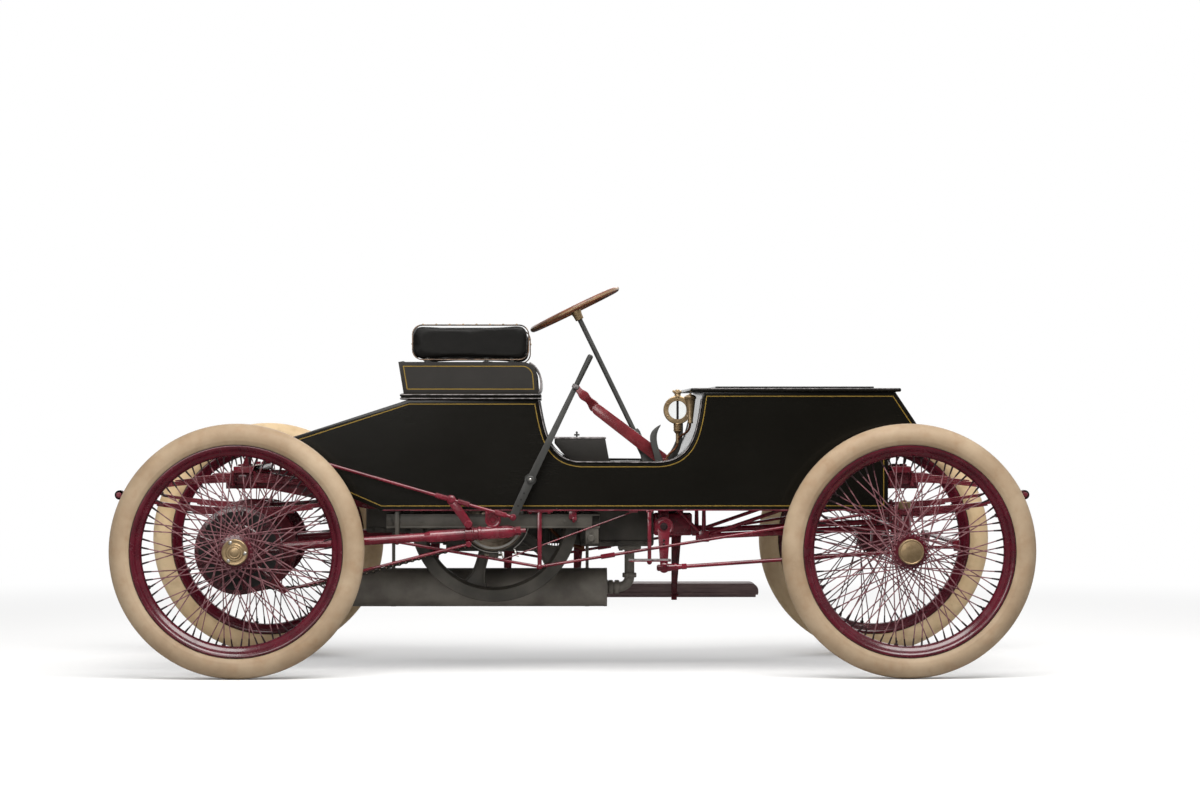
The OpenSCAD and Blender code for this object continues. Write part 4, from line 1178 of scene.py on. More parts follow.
def make_seat_box():
    """The seat's moulding, its striped boards, the rolled front and the feet of the pad."""
    coach = bpy.context.scene.car_coach
    bm = bmesh.new()
    bead = [(0, 0), (9, 0), (11, 2.5), (11, 6), (8, 9), (8, 11), (11, 13), (12, 17), (10, 21),
            (6, 23), (0, 23)]
    x0, x1, y = SEAT_REAR, SEAT_FRONT + 4, BODY_Y
    loop = [vec(x0 + 3, -y, 0), vec(x1, -y, 0), vec(x1, y, 0), vec(x0 + 3, y, 0)]
    centre = vec((x0 + x1) / 2, 0, 0)
    rings = []
    for out, up in bead:
        ring = []
        for corner in loop:
            away = corner - centre
            shift = vec(math.copysign(out * (0.3 if away.x > 0 else 1), away.x),
                        math.copysign(out, away.y), DECK_Z + up)
            ring.append(bm.verts.new(corner + shift))
        rings.append(ring)
        for a, b in zip(ring, ring[1:] + ring[:1]):
            bm.edges.new((a, b))
    for low, high in zip(rings, rings[1:]):
        edges = [e for ring in (low, high) for a, b in zip(ring, ring[1:] + ring[:1])
                 for e in a.link_edges if e.other_vert(a) is b]
        bmesh.ops.bridge_loops(bm, edges=edges)
    bm.faces.new(rings[0])
    bm.faces.new(rings[-1])
    bevelled = [e for e in bm.edges if abs(e.verts[0].co.z - e.verts[1].co.z) > 0.5
                or (e.verts[0].co.xy - e.verts[1].co.xy).length < 15]
    soften(bm, [e for e in bevelled if len(e.link_faces) == 2], 2.5, 2)
    # painted highlights: two thin pale wires along the moulding's beads, where the light from above falls
    for out, up in ((11.5, 4.5), (12.5, 18.5)):
        for way in (-1, 1):
            bar(bm, vec(SEAT_REAR - out + 6, way * (BODY_Y + out), DECK_Z + up),
                vec(SEAT_FRONT + 6, way * (BODY_Y + out), DECK_Z + up), 1.5, None, 8, 1)
    piece("seat_moulding", bm, "root", ("coach_black", "edge_wear_and_highlight"), ("seat_box",), 30)

    bm = bmesh.new()
    front, lean = SEAT_FRONT - 2, -19.5
    side = ([(SEAT_REAR + 4, MOULD_Z), (SEAT_REAR + 4 + lean, RISER_TOP)]
            + arc(SEAT_FRONT - 62, RISER_TOP - 55, 55, 90, 0, 10) + [(front, MOULD_Z)])
    for way in (-1, 1):
        striped(bm, [vec(x, way * RISER_Y, z) for x, z in side], vec(0, -way * 18, 0), coach)
    rear = [vec(SEAT_REAR + 4.2, RISER_Y - 18.5, MOULD_Z), vec(SEAT_REAR + 4.2, 18.5 - RISER_Y, MOULD_Z),
            vec(SEAT_REAR + 4.2 + lean, 18.5 - RISER_Y, RISER_TOP),
            vec(SEAT_REAR + 4.2 + lean, RISER_Y - 18.5, RISER_TOP)]
    striped(bm, rear, vec(18, 0, 3), coach)
    piece("seat_boards", bm, "root", ("satin_black", "pin_gold"), (), 25)

    bm = bmesh.new()
    roll = bent((front - 2, 0, MOULD_Z + 1), (front + 18, 0, MOULD_Z + 12),
                (front + 16, 0, RISER_TOP - 26), (front - 34, 0, RISER_TOP - 3), 14)
    swept(bm, oblong(2 * RISER_Y - 40, 8), roll, ACROSS)
    for way in (-1, 1):
        tube(bm, [p + ACROSS * (way * (RISER_Y - 16)) for p in roll], 4, 10, 1)
    piece("seat_front_roll", bm, "root", ("coach_black", "edge_wear_and_highlight"), (), 40)

    bm = bmesh.new()
    for x in (PAD_FRONT - 64, PAD_FRONT - 158, PAD_FRONT - 375):
        for way in (-1, 1):
            y = way * (RISER_Y - 9)
            block(bm, (x - 13, y - 9, RISER_TOP - 0.5), (x + 13, y + 9, RISER_TOP + 2.2), 1)
            bar(bm, vec(x, y, RISER_TOP + 1), vec(x, y, PAD_Z + 8), 8)
    piece("pad_feet", bm, "root", ("lever_grey",))


def plump(name, bm, voxel, cap, pressure=4.0):
    """Swells a closed shape with a cloth pressure simulation and returns the mesh, in metres."""
    bmesh.ops.scale(bm, vec=(MM, MM, MM), verts=bm.verts)
    bmesh.ops.recalc_face_normals(bm, faces=bm.faces)
    mesh = bpy.data.meshes.new(name + "_start")
    bm.to_mesh(mesh)
    bm.free()
    scene = bpy.context.scene
    obj = bpy.data.objects.new(name + "_start", mesh)
    scene.collection.objects.link(obj)
    grid = obj.modifiers.new("grid", "REMESH")
    grid.mode = "VOXEL"
    grid.voxel_size = voxel * MM
    graph = bpy.context.evaluated_depsgraph_get()
    made = bpy.data.meshes.new_from_object(obj.evaluated_get(graph))
    obj.modifiers.clear()
    obj.data = made
    frames = 20
    cloth = obj.modifiers.new("cloth", "CLOTH")
    cloth.settings.quality = 5
    cloth.settings.mass = 0.3
    cloth.settings.tension_stiffness = cloth.settings.compression_stiffness = 20
    cloth.settings.shear_stiffness = 8
    cloth.settings.bending_stiffness = 1.5
    cloth.settings.use_pressure = True
    cloth.settings.uniform_pressure_force = pressure
    cloth.settings.effector_weights.gravity = 0
    cloth.point_cache.frame_end = frames
    for number in range(1, frames + 1):
        scene.frame_set(number)
    graph = bpy.context.evaluated_depsgraph_get()
    swollen = bpy.data.meshes.new_from_object(obj.evaluated_get(graph))
    for vert, start in zip(swollen.vertices, made.vertices):
        move = vert.co - start.co
        if move.length > cap * MM:
            vert.co = start.co + move.normalized() * cap * MM
    scene.frame_set(1)
    made = swollen
    bpy.data.objects.remove(obj)
    bm = bmesh.new()
    bm.from_mesh(made)
    bmesh.ops.smooth_vert(
        bm, verts=bm.verts, factor=0.5, use_axis_x=True, use_axis_y=True, use_axis_z=True)
    bm.to_mesh(made)
    bm.free()
    return made


def tuft(mesh, buttons, pairs, inwards, spread, depth, reach):
    """Draws a padded face in at its buttons, with pleats from button to button."""
    inwards = Vector(inwards)
    for vert in mesh.vertices:
        point = vert.co / MM
        pull = 0.0
        for button in buttons:
            away = point - button
            flat = (away - inwards * away.dot(inwards)).length
            if abs(away.dot(inwards)) < reach:
                pull = max(pull, math.exp(-(flat / spread) ** 2))
        for a, b in pairs:
            run = b - a
            t = max(0, min(1, (point - a).dot(run) / run.length_squared))
            away = point - (a + run * t)
            flat = (away - inwards * away.dot(inwards)).length
            if abs(away.dot(inwards)) < reach:
                pull = max(pull, 0.42 * math.exp(-(flat / (spread * 0.38)) ** 2))
        vert.co += inwards * (pull * depth * MM)


def padded_piece(name, mesh, replaces):
    """A leather pad, rounded once more."""
    obj = settle(name, mesh, "root", ("leather",), replaces, 180)
    smooth = obj.modifiers.new("smooth", "SUBSURF")
    smooth.levels = smooth.render_levels = 1
    return obj


def diamond(xs, ys, at):
    """Buttons in staggered rows, and the pairs that a pleat joins."""
    rows = []
    for j, y in enumerate(ys):
        half = (xs[1] - xs[0]) / 2 if j % 2 else 0
        rows.append([at(x + half, y) for x in (xs[:-1] if j % 2 else xs)])
    pairs = []
    for low, high in zip(rows, rows[1:]):
        reach = (low[0] - high[0]).length * 1.05 if low and high else 0
        pairs += [(a, b) for a in low for b in high if (a - b).length < reach]
    return [b for row in rows for b in row], pairs


def make_cushion():
    """The tufted cushion with its buttons and its welt."""
    lo, hi = node_box("seat_cushion")
    bm = bmesh.new()
    block(bm, (lo.x + 8, lo.y + 8, lo.z + 1), (hi.x - 8, hi.y - 8, hi.z - 14), 22, 0, 4)
    mesh = plump("cushion", bm, 8, 14)
    for vert in mesh.vertices:
        vert.co.z = max(vert.co.z, (lo.z + 0.4) * MM)
        vert.co.z = min(vert.co.z, (hi.z + 7) * MM)
        vert.co.y = max(-hi.y * MM, min(hi.y * MM, vert.co.y))
        vert.co.x = max(lo.x * MM, min(hi.x * MM, vert.co.x))
    length, width = hi.x - lo.x, hi.y - lo.y
    xs = [lo.x + length * f for f in (0.16, 0.385, 0.61, 0.835)]
    ys = [lo.y + width * (i + 0.5) / 7 for i in range(7)]
    buttons, pairs = diamond(xs, ys, lambda x, y: vec(x, y, hi.z - 2))
    tuft(mesh, buttons, pairs, (0, 0, -1), 24, 17, 40)
    padded_piece("seat_cushion_pad", mesh, ("seat_cushion",))
    bm = bmesh.new()
    for b in buttons:
        ball(bm, b + vec(0, 0, -9.5), 8, 0, (1, 1, 0.55))
    path = []
    for cx, cy, start in ((hi.x - 30, hi.y - 30, 0), (lo.x + 30, hi.y - 30, 90),
                          (lo.x + 30, lo.y + 30, 180), (hi.x - 30, lo.y + 30, 270)):
        path += [vec(x, y, hi.z - 12) for x, y in arc(cx, cy, 28, start, start + 90, 6)]
    tube(bm, path, 4, 8, 0, True)
    piece("seat_cushion_trim", bm, "root", ("piping",))


def pad_outline(grow=0):
    """The padded rail's side view."""
    r = CORNER + grow
    x0, x1 = PAD_REAR - grow, PAD_FRONT + grow
    z0, z1 = PAD_Z - grow, PAD_TOP + grow
    return (arc(x1 - r, z0 + r, r, -90, 0, 6) + arc(x1 - r, z1 - r, r, 0, 90, 6)
            + arc(x0 + r, z1 - r, r, 90, 180, 6) + arc(x0 + r, z0 + r, r, 180, 270, 6))


def make_rail_pad(settings):
    """The padded rail round the seat, with its buttons, welts and nails."""
    bm = bmesh.new()
    outline = pad_outline(-5)
    for way in (-1, 1):
        near, far = sorted((way * (PAD_Y - 4), way * (PAD_Y - PAD_T + 6)))
        slab(bm, outline, near, far, 6, 0, 3)
    back = [vec(PAD_REAR + 6, 0, 0), vec(PAD_REAR + PAD_T - 6, 0, 0)]
    block(bm, (back[0].x, -PAD_Y + 20, PAD_Z + 5), (back[1].x, PAD_Y - 20, PAD_TOP - 5), 14, 0, 3)
    mesh = plump("rail", bm, 7, 6, 3.0)
    mid = (PAD_Z + PAD_TOP) / 2
    arms = [PAD_REAR + PAD_T + 40 + 78 * i for i in range(5)]
    backs = [-PAD_Y + PAD_T + 46 + 83.5 * i for i in range(9)]
    heights = (mid - 30, mid + 30)
    trims = []
    for way in (-1, 1):
        buttons, pairs = diamond(arms, heights, lambda x, z: vec(x, way * (PAD_Y - PAD_T), z))
        tuft(mesh, buttons, pairs, (0, way, 0), 18, 9, 18)
        trims += [(b + vec(0, way * 5, 0), "y") for b in buttons]
    buttons, pairs = diamond(backs, heights, lambda y, z: vec(PAD_REAR + PAD_T, y, z))
    tuft(mesh, buttons, pairs, (-1, 0, 0), 18, 9, 18)
    trims += [(b + vec(-5, 0, 0), "x") for b in buttons]
    for vert in mesh.vertices:
        vert.co.z = max(vert.co.z, (PAD_Z - 1) * MM)
        vert.co.y = max(-PAD_Y * MM, min(PAD_Y * MM, vert.co.y))
    padded_piece("rail_pad", mesh, ("seat_rail_pad",))
    bm = bmesh.new()
    for at, axis in trims:
        ball(bm, at, 7, 0, (0.55, 1, 1) if axis == "x" else (1, 0.55, 1))
    edge = pad_outline(-1.5)
    for way in (-1, 1):
        for y in (PAD_Y - 4, PAD_Y - PAD_T + 5):
            tube(bm, [vec(x, way * y, z) for x, z in edge], 2.1, 8, 1, True)
        for i in range(settings.nails):
            x = PAD_REAR + 40 + (PAD_FRONT - PAD_REAR - 86) * i / (settings.nails - 1)
            ball(bm, vec(x, way * (PAD_Y - 10), PAD_TOP + 0.5), 4.4, 2, (1, 1, 0.7))
        ball(bm, vec(PAD_FRONT, way * (PAD_Y - 10), PAD_TOP - 55), 5, 2, (0.7, 1, 1))
        ball(bm, vec(PAD_REAR, way * (PAD_Y - 10), PAD_TOP - 72), 4, 2, (0.7, 1, 1))
    piece("rail_pad_trim", bm, "root", ("piping", "tan_welt", "brass"))


# ---- running gear ----
class CAR_PG_gear(bpy.types.PropertyGroup):
    """Springs, frame, engine, steering and fittings."""
    leaves: IntProperty(name="Leaves", description="Leaves in each half of a spring", default=6, min=2)
    leaf: FloatProperty(
        name="Leaf", description="Thickness of a spring leaf", default=0.0058, unit="LENGTH")
    pitch: FloatProperty(
        name="Chain pitch", description="Length of a chain link", default=0.0254, unit="LENGTH")
    rim_wood: FloatProperty(
        name="Wheel rim", description="Radius of the steering wheel's rim section", default=0.012,
        unit="LENGTH")


AXLE_Z = HUB_Z
BEAM_Z = HUB_Z + 77
RAIL_Y = SPRING_Y - 65
ROD_Y = BODY_Y + 40
STUB_X, STUB_Z = -160, HUB_Z + 70
TRUSS_Y = (BODY_Y + INNER_Y) / 2


def both(bm):
    """Copies everything drawn so far to the car's other side."""
    made = bmesh.ops.duplicate(bm, geom=bm.verts[:] + bm.edges[:] + bm.faces[:])["geom"]
    verts = verts_of(made)
    bmesh.ops.scale(bm, vec=(1, -1, 1), verts=verts)
    bmesh.ops.reverse_faces(bm, faces=faces_of(made))


def stud(bm, at, axis, reach, r, index=0, ends=(1, 1)):
    """A bolt through a part: a nut on each end that shows, with the thread standing out of it."""
    axis = Vector(axis).normalized()
    bar(bm, at - axis * reach, at + axis * reach, r * 0.5, None, 10, index)
    for way, wanted in zip((-1, 1), ends):
        if wanted:
            nut(bm, at + axis * (way * (reach - r * 1.5)), axis * way, r, r * 1.1, index)


def add_spring(bm, x, settings):
    """A full elliptic spring over an axle at x, with its eyes, clips and bolts."""
    leaf = settings.leaf / MM
    camber = SPRING_TOP - EYE_Z - 36
    for way in (-1, 1):
        for k in range(settings.leaves):
            half = SPRING_HALF * (1 - k / (settings.leaves + 0.7))
            path, sizes = [], []
            for i in range(-12, 13):
                u = i / 12 * half / SPRING_HALF
                lift = camber * (1 - u * u) + leaf * (k + 0.55)
                if k == 0 and abs(i) == 12:
                    lift += 8
                path.append(vec(x + u * SPRING_HALF, SPRING_Y, EYE_Z + way * lift))
                sizes.append(0.86 if abs(i) == 12 and k else 1)
            swept(bm, oblong(leaf * 0.92, 44 - k * 0.4, 1.4), path, UP, sizes)
        for side in (-1, 1):
            centre = vec(x + side * SPRING_HALF, SPRING_Y, EYE_Z)
            collar(bm, centre, ACROSS, 22, 10, 17.5, steps=20)
    for side in (-1, 1):
        centre = vec(x + side * SPRING_HALF, SPRING_Y, EYE_Z)
        stud(bm, centre, ACROSS, 46, 11)
    for z0, z1 in ((SPRING_LOW - 9, SPRING_LOW + 42), (SPRING_TOP - 42, SPRING_TOP + 3)):
        block(bm, (x - 26, SPRING_Y - 25, z0), (x + 26, SPRING_Y + 25, z1), 4)
        for cx in (x - 40, x + 40):
            for y in (SPRING_Y - 26, SPRING_Y + 26):
                bar(bm, vec(cx, y, z0 - 5), vec(cx, y, z1 + 3), 4.5, None, 8)
                nut(bm, vec(cx, y, z0), (0, 0, -1), 8, 7)
            bar(bm, vec(cx, SPRING_Y - 30, z1), vec(cx, SPRING_Y + 30, z1), 4.5, None, 8)


def make_springs(settings):
    for name, x in (("front", FRONT_X), ("rear", REAR_X)):
        bm = bmesh.new()
        add_spring(bm, x, settings)
        both(bm)
        piece(name + "_leaf_springs", bm, "root", ("spring_maroon",),
              (name + "_springs",))


def make_frame():
    """The wooden rails, the perch bars over the axles and the iron frame under the engine."""
    bm = bmesh.new()
    top, t = SPRING_TOP, 60
    low = BOTTOM_Z + 2
    outline = [(-RAIL_END, top), (REAR_X + 90, top), (-745, low + t), (FRONT_X - 215, low + t),
               (FRONT_X - 110, top), (RAIL_END, top), (RAIL_END, top - t), (FRONT_X - 95, top - t),
               (FRONT_X - 200, low), (-760, low), (REAR_X + 75, top - t), (-RAIL_END, top - t)]
    slab(bm, outline, RAIL_Y - 20, RAIL_Y + 20, 4)
    for x in (-650, 60, 690):
        block(bm, (x, RAIL_Y, BOTTOM_Z + 10), (x + 36, INNER_Y, BOTTOM_Z + 50), 2)
    for x in (REAR_X - 40, REAR_X + 40, -700, -420, 20, 330, 650, 940, FRONT_X - 40, FRONT_X + 40):
        z = top - 30 if abs(x) > 1100 else BOTTOM_Z + 34
        for y, way in ((RAIL_Y - 20, -1), (RAIL_Y + 20, 1)):
            nut(bm, vec(x, y, z), (0, way, 0), 10, 8)
    both(bm)
    piece("frame_timbers", bm, "root", ("maroon_enamel",), ("frame_rails",))
    bm = bmesh.new()
    for x in (REAR_X, FRONT_X):
        block(bm, (x - 35, -BODY_Y + 0.3, top), (x + 35, BODY_Y - 0.3, top + 24), 3)
        for y in (-SPRING_Y, SPRING_Y, -RAIL_Y + 30, RAIL_Y - 30):
            nut(bm, vec(x - 14, y, top + 24), UP, 10, 8)
            nut(bm, vec(x + 14, y, top + 24), UP, 10, 8)
    block(bm, (520, -RAIL_Y + 20, BOTTOM_Z + 10), (560, RAIL_Y - 20, BOTTOM_Z + 50), 3)
    for side in (-1, 1):
        y0, y1 = sorted((side * INNER_Y, side * (BODY_Y - 0.5)))
        post = [(REAR_X - 4, top + 24), (REAR_X + 30, top + 24), (REAR_X + 30, 829), (TAIL_X + 2, 822)]
        slab(bm, post, y0, y1, 1.5)
    piece("perch_bars", bm, "root", ("maroon_enamel",), ("spring_perches",))
    bm = bmesh.new()
    y, z0, z1 = RAIL_Y, BOTTOM_Z - 67, BOTTOM_Z - 15
    for lo, hi in (((-690, y - 20, z0), (100, y + 20, z0 + 7)),
                   ((-690, y - 20, z1 - 7), (100, y + 20, z1)),
                   ((-690, y - 20, z0), (100, y - 13, z1))):
        block(bm, lo, hi, 1.5)
    for x in (-680, 50):
        block(bm, (x, 140, z1 - 30), (x + 40, y - 16, z1 - 4), 3)
        stud(bm, vec(x + 20, y - 24, z1 - 17), ACROSS, 18, 9, 0, (1, 0))
    for x in (-670, 40):
        block(bm, (x, y - 20, z1 - 2), (x + 36, y + 20, BOTTOM_Z + 2), 2)
    for x in (-560, -430, 0):
        nut(bm, vec(x, y + 20, z1 - 3.5), ACROSS, 8, 6)
    bar(bm, vec(STUB_X - 78, y - 10, STUB_Z - 5), vec(STUB_X - 78, ROD_Y - 12, STUB_Z - 5), 16, None, 24)
    both(bm)
    hoop(bm, [(-28, 24.3), (-28, 33), (24, 33), (24, 24.3)], vec(CRANK_X, -RAIL_Y, CRANK_Z), ACROSS, 32)
    block(bm, (-690, -INNER_Y, z0), (100, 4 - INNER_Y, z1), 1)
    block(bm, (-690, -INNER_Y - 1.6, z0), (100, 4 - INNER_Y, z0 + 7), 1)
    block(bm, (-690, -INNER_Y - 1.6, z1 - 7), (100, 4 - INNER_Y, z1), 1)
    for x in (-690, 70):
        block(bm, (x, -INNER_Y, z0), (x + 30, 10 - RAIL_Y, z1), 1.5)
    block(bm, (46, -INNER_Y + 1, z0 - 58), (96, 20 - RAIL_Y, z0 + 10), 3)
    nut(bm, vec(68, -INNER_Y + 1, z0 - 38), (0, -1, 0), 13, 8, 0, 10)
    block(bm, (60, -INNER_Y - 0.6, z0 - 20), (76, 4 - INNER_Y, z0 + 4), 1)
    for x in (-640, -560, -30, 20):
        nut(bm, vec(x, -INNER_Y - 0.2, z0 + 26), (0, -1, 0), 7, 1.6)
    piece("engine_frame", bm, "root", ("cast_iron",), ("subframe",))


def make_axles():
    """The rear tube with its gear case and brake drum, and the front beam."""
    bm = bmesh.new()
    end = WHEEL_Y + 62
    bar(bm, vec(REAR_X, -639, AXLE_Z), vec(REAR_X, 639, AXLE_Z), 30, None, 32)
    bar(bm, vec(REAR_X, -end, AXLE_Z), vec(REAR_X, end, AXLE_Z), 16, None, 20)
    for side in (-1, 1):
        hub = vec(REAR_X, side * SPRING_Y, AXLE_Z)
        collar(bm, hub, ACROSS, 30, 31, 46, 4, 6)
        block(bm, (REAR_X - 38, hub.y - 22, AXLE_Z + 24), (REAR_X + 38, hub.y + 22, SPRING_LOW), 5)
        for y in (-20, 20):
            collar(bm, hub + vec(0, y, 0), ACROSS, 3, 46, 49)
    y = CHAIN_Y + 12.5
    case = [(-5, 60), (-5, 118), (2, 122), (8, 112), (52, 112), (84, 96), (90, 84), (90, 60)]
    hoop(bm, case, vec(REAR_X, y, AXLE_Z), ACROSS, 56)
    nuts_round(bm, vec(REAR_X, y + 50, AXLE_Z), ACROSS, 100, 8, 8, 8)
    bar(bm, vec(REAR_X, CHAIN_Y - 22, AXLE_Z), vec(REAR_X, y + 140, AXLE_Z), 58, None, 40)
    drum = [(130, 50), (130, 168), (133, 174), (138, 176), (142, 174), (144, 170), (201, 170), (203, 174),
            (207, 176), (212, 174), (215, 168), (215, 150), (208, 146), (206, 50)]
    hoop(bm, drum, vec(REAR_X, y, AXLE_Z), ACROSS, 72)
    piece("rear_axle_tube", bm, "root", ("spring_maroon",), ("rear_axle",))
    bm = bmesh.new()
    bar(bm, vec(FRONT_X, -545, BEAM_Z), vec(FRONT_X, 545, BEAM_Z), 22, None, 28)
    for side in (-1, 1):
        pin = vec(FRONT_X, side * 545, 0)
        post = [(500, 13.3), (500, 24), (503, 25), (582, 25), (585, 24), (585, 13.3)]
        hoop(bm, post, pin, UP, 28)
        block(bm, (FRONT_X - 35, side * SPRING_Y - 22, BEAM_Z + 8),
              (FRONT_X + 35, side * SPRING_Y + 22, SPRING_LOW), 5)
        seat = vec(FRONT_X, side * SPRING_Y, BEAM_Z)
        collar(bm, seat, ACROSS, 24, 22.5, 29, steps=28)
    piece("front_axle_beam", bm, "root", ("spring_maroon",), ("front_axle",))


def make_rods():
    """The stepped radius rods, the front stays and the truss irons under the rails."""
    bm = bmesh.new()

    def rod(x):
        return vec(x, ROD_Y, STUB_Z - 70 * (x - STUB_X) / (REAR_X - STUB_X))
    steps = [(REAR_X + 40, 16), (-547, 16), (-525, 21.5), (-349, 22.5), (-342, 23), (-240, 24), (-222, 21)]
    tip = [(-224, 21), (-212, 15), (-210, 15)]
    for line in (steps, tip):
        for (x0, r0), (x1, r1) in zip(line, line[1:]):
            bar(bm, rod(x0), rod(x1), r0, r1, 24)
    for x in (-370, -343):
        collar(bm, rod(x), rod(STUB_X) - rod(REAR_X), 7, 14, 26.5, 2.5, 3, 24)
    bar(bm, rod(-211), rod(-192), 16, None, 6)
    bar(bm, rod(-193), rod(-174), 8, None, 16)
    collar(bm, vec(REAR_X, ROD_Y, AXLE_Z), ACROSS, 22, 31, 44, 4, 5, 40)
    hanger = vec(490, RAIL_Y, HUB_Z + 41)
    front = vec(FRONT_X, RAIL_Y, BEAM_Z)
    bar(bm, hanger, front - (front - hanger).normalized() * 26, 11, None, 18)
    collar(bm, front, ACROSS, 20, 22.4, 34, 2, 4, 32)
    block(bm, hanger + vec(-20, -18, -20), hanger + vec(20, 18, 22), 4)
    nut(bm, hanger - vec(20, 0, 1), (-1, 0, 0.13), 13, 10)
    bar(bm, hanger, vec(490, RAIL_Y, BOTTOM_Z + 2), 9, 7, 12)
    bar(bm, hanger, vec(770, RAIL_Y, BOTTOM_Z - 5), 7, None, 12)
    bar(bm, hanger, vec(392, RAIL_Y + 8, BOTTOM_Z - 2), 6, None, 12)
    block(bm, (748, RAIL_Y - 12, BOTTOM_Z - 10), (792, RAIL_Y + 12, BOTTOM_Z + 2), 3)
    nut(bm, vec(770, RAIL_Y + 12, BOTTOM_Z - 4), ACROSS, 8, 6)
    both(bm)
    piece("radius_rod_tubes", bm, "root", ("maroon_enamel",), ("radius_rods",))
    bm = bmesh.new()
    foot = vec(-123, TRUSS_Y, BOTTOM_Z - 209)
    ahead = vec(FRONT_X - 79, TRUSS_Y, BOTTOM_Z - 6)
    behind = vec(-650, TRUSS_Y, BOTTOM_Z - 117)
    for end in (ahead, behind):
        bar(bm, foot, end, 5.5, None, 12)
    for end, index in ((foot, 0), (behind, 1)):
        block(bm, end - vec(8, 5, 4), (end.x + 8, TRUSS_Y + 5, BOTTOM_Z - 4), 2.5, index)
        ball(bm, end, 11)
    block(bm, (-14, TRUSS_Y - 6, BOTTOM_Z - 34), (14, TRUSS_Y + 2, BOTTOM_Z - 1), 1.5)
    block(bm, (-2, TRUSS_Y - 6, BOTTOM_Z - 38), (14, TRUSS_Y + 9, BOTTOM_Z - 26), 1.5)
    nut(bm, vec(4, TRUSS_Y, BOTTOM_Z - 38), (0, 0, -1), 6, 7)
    block(bm, (-171, TRUSS_Y - 9, BOTTOM_Z - 8), (-73, TRUSS_Y + 9, BOTTOM_Z - 0.5), 2.5)
    for x in (-158, -88):
        nut(bm, vec(x, TRUSS_Y, BOTTOM_Z - 8), (0, 0, -1), 6.5, 5)
    block(bm, (ahead.x - 14, TRUSS_Y - 9, BOTTOM_Z - 12), (ahead.x + 14, TRUSS_Y + 9, BOTTOM_Z - 0.5), 2.5)
    turnbuckle = foot.lerp(ahead, 0.2)
    run = (ahead - foot).normalized()
    bar(bm, turnbuckle - run * 26, turnbuckle + run * 26, 9, None, 6)
    both(bm)
    hook = vec(-255, 7 - TRUSS_Y, 423)
    bar(bm, hook, vec(223, 7 - TRUSS_Y, BOTTOM_Z - 6), 2.6, None, 8)
    ball(bm, hook, 6)
    block(bm, (208, -TRUSS_Y - 2, BOTTOM_Z - 9), (240, 14 - TRUSS_Y, BOTTOM_Z - 0.5), 2)
    piece("truss_irons", bm, "root", ("maroon_enamel", "cast_iron"), ("truss_rods",))


# ---- engine and drive ----
GEAR_Z = HUB_Z
MUFFLER_X, MUFFLER_Z, MUFFLER_R, MUFFLER_LEN = 133, HUB_Z - 164, 74, 1002
PIPE_X, PIPE_R = 219, 21


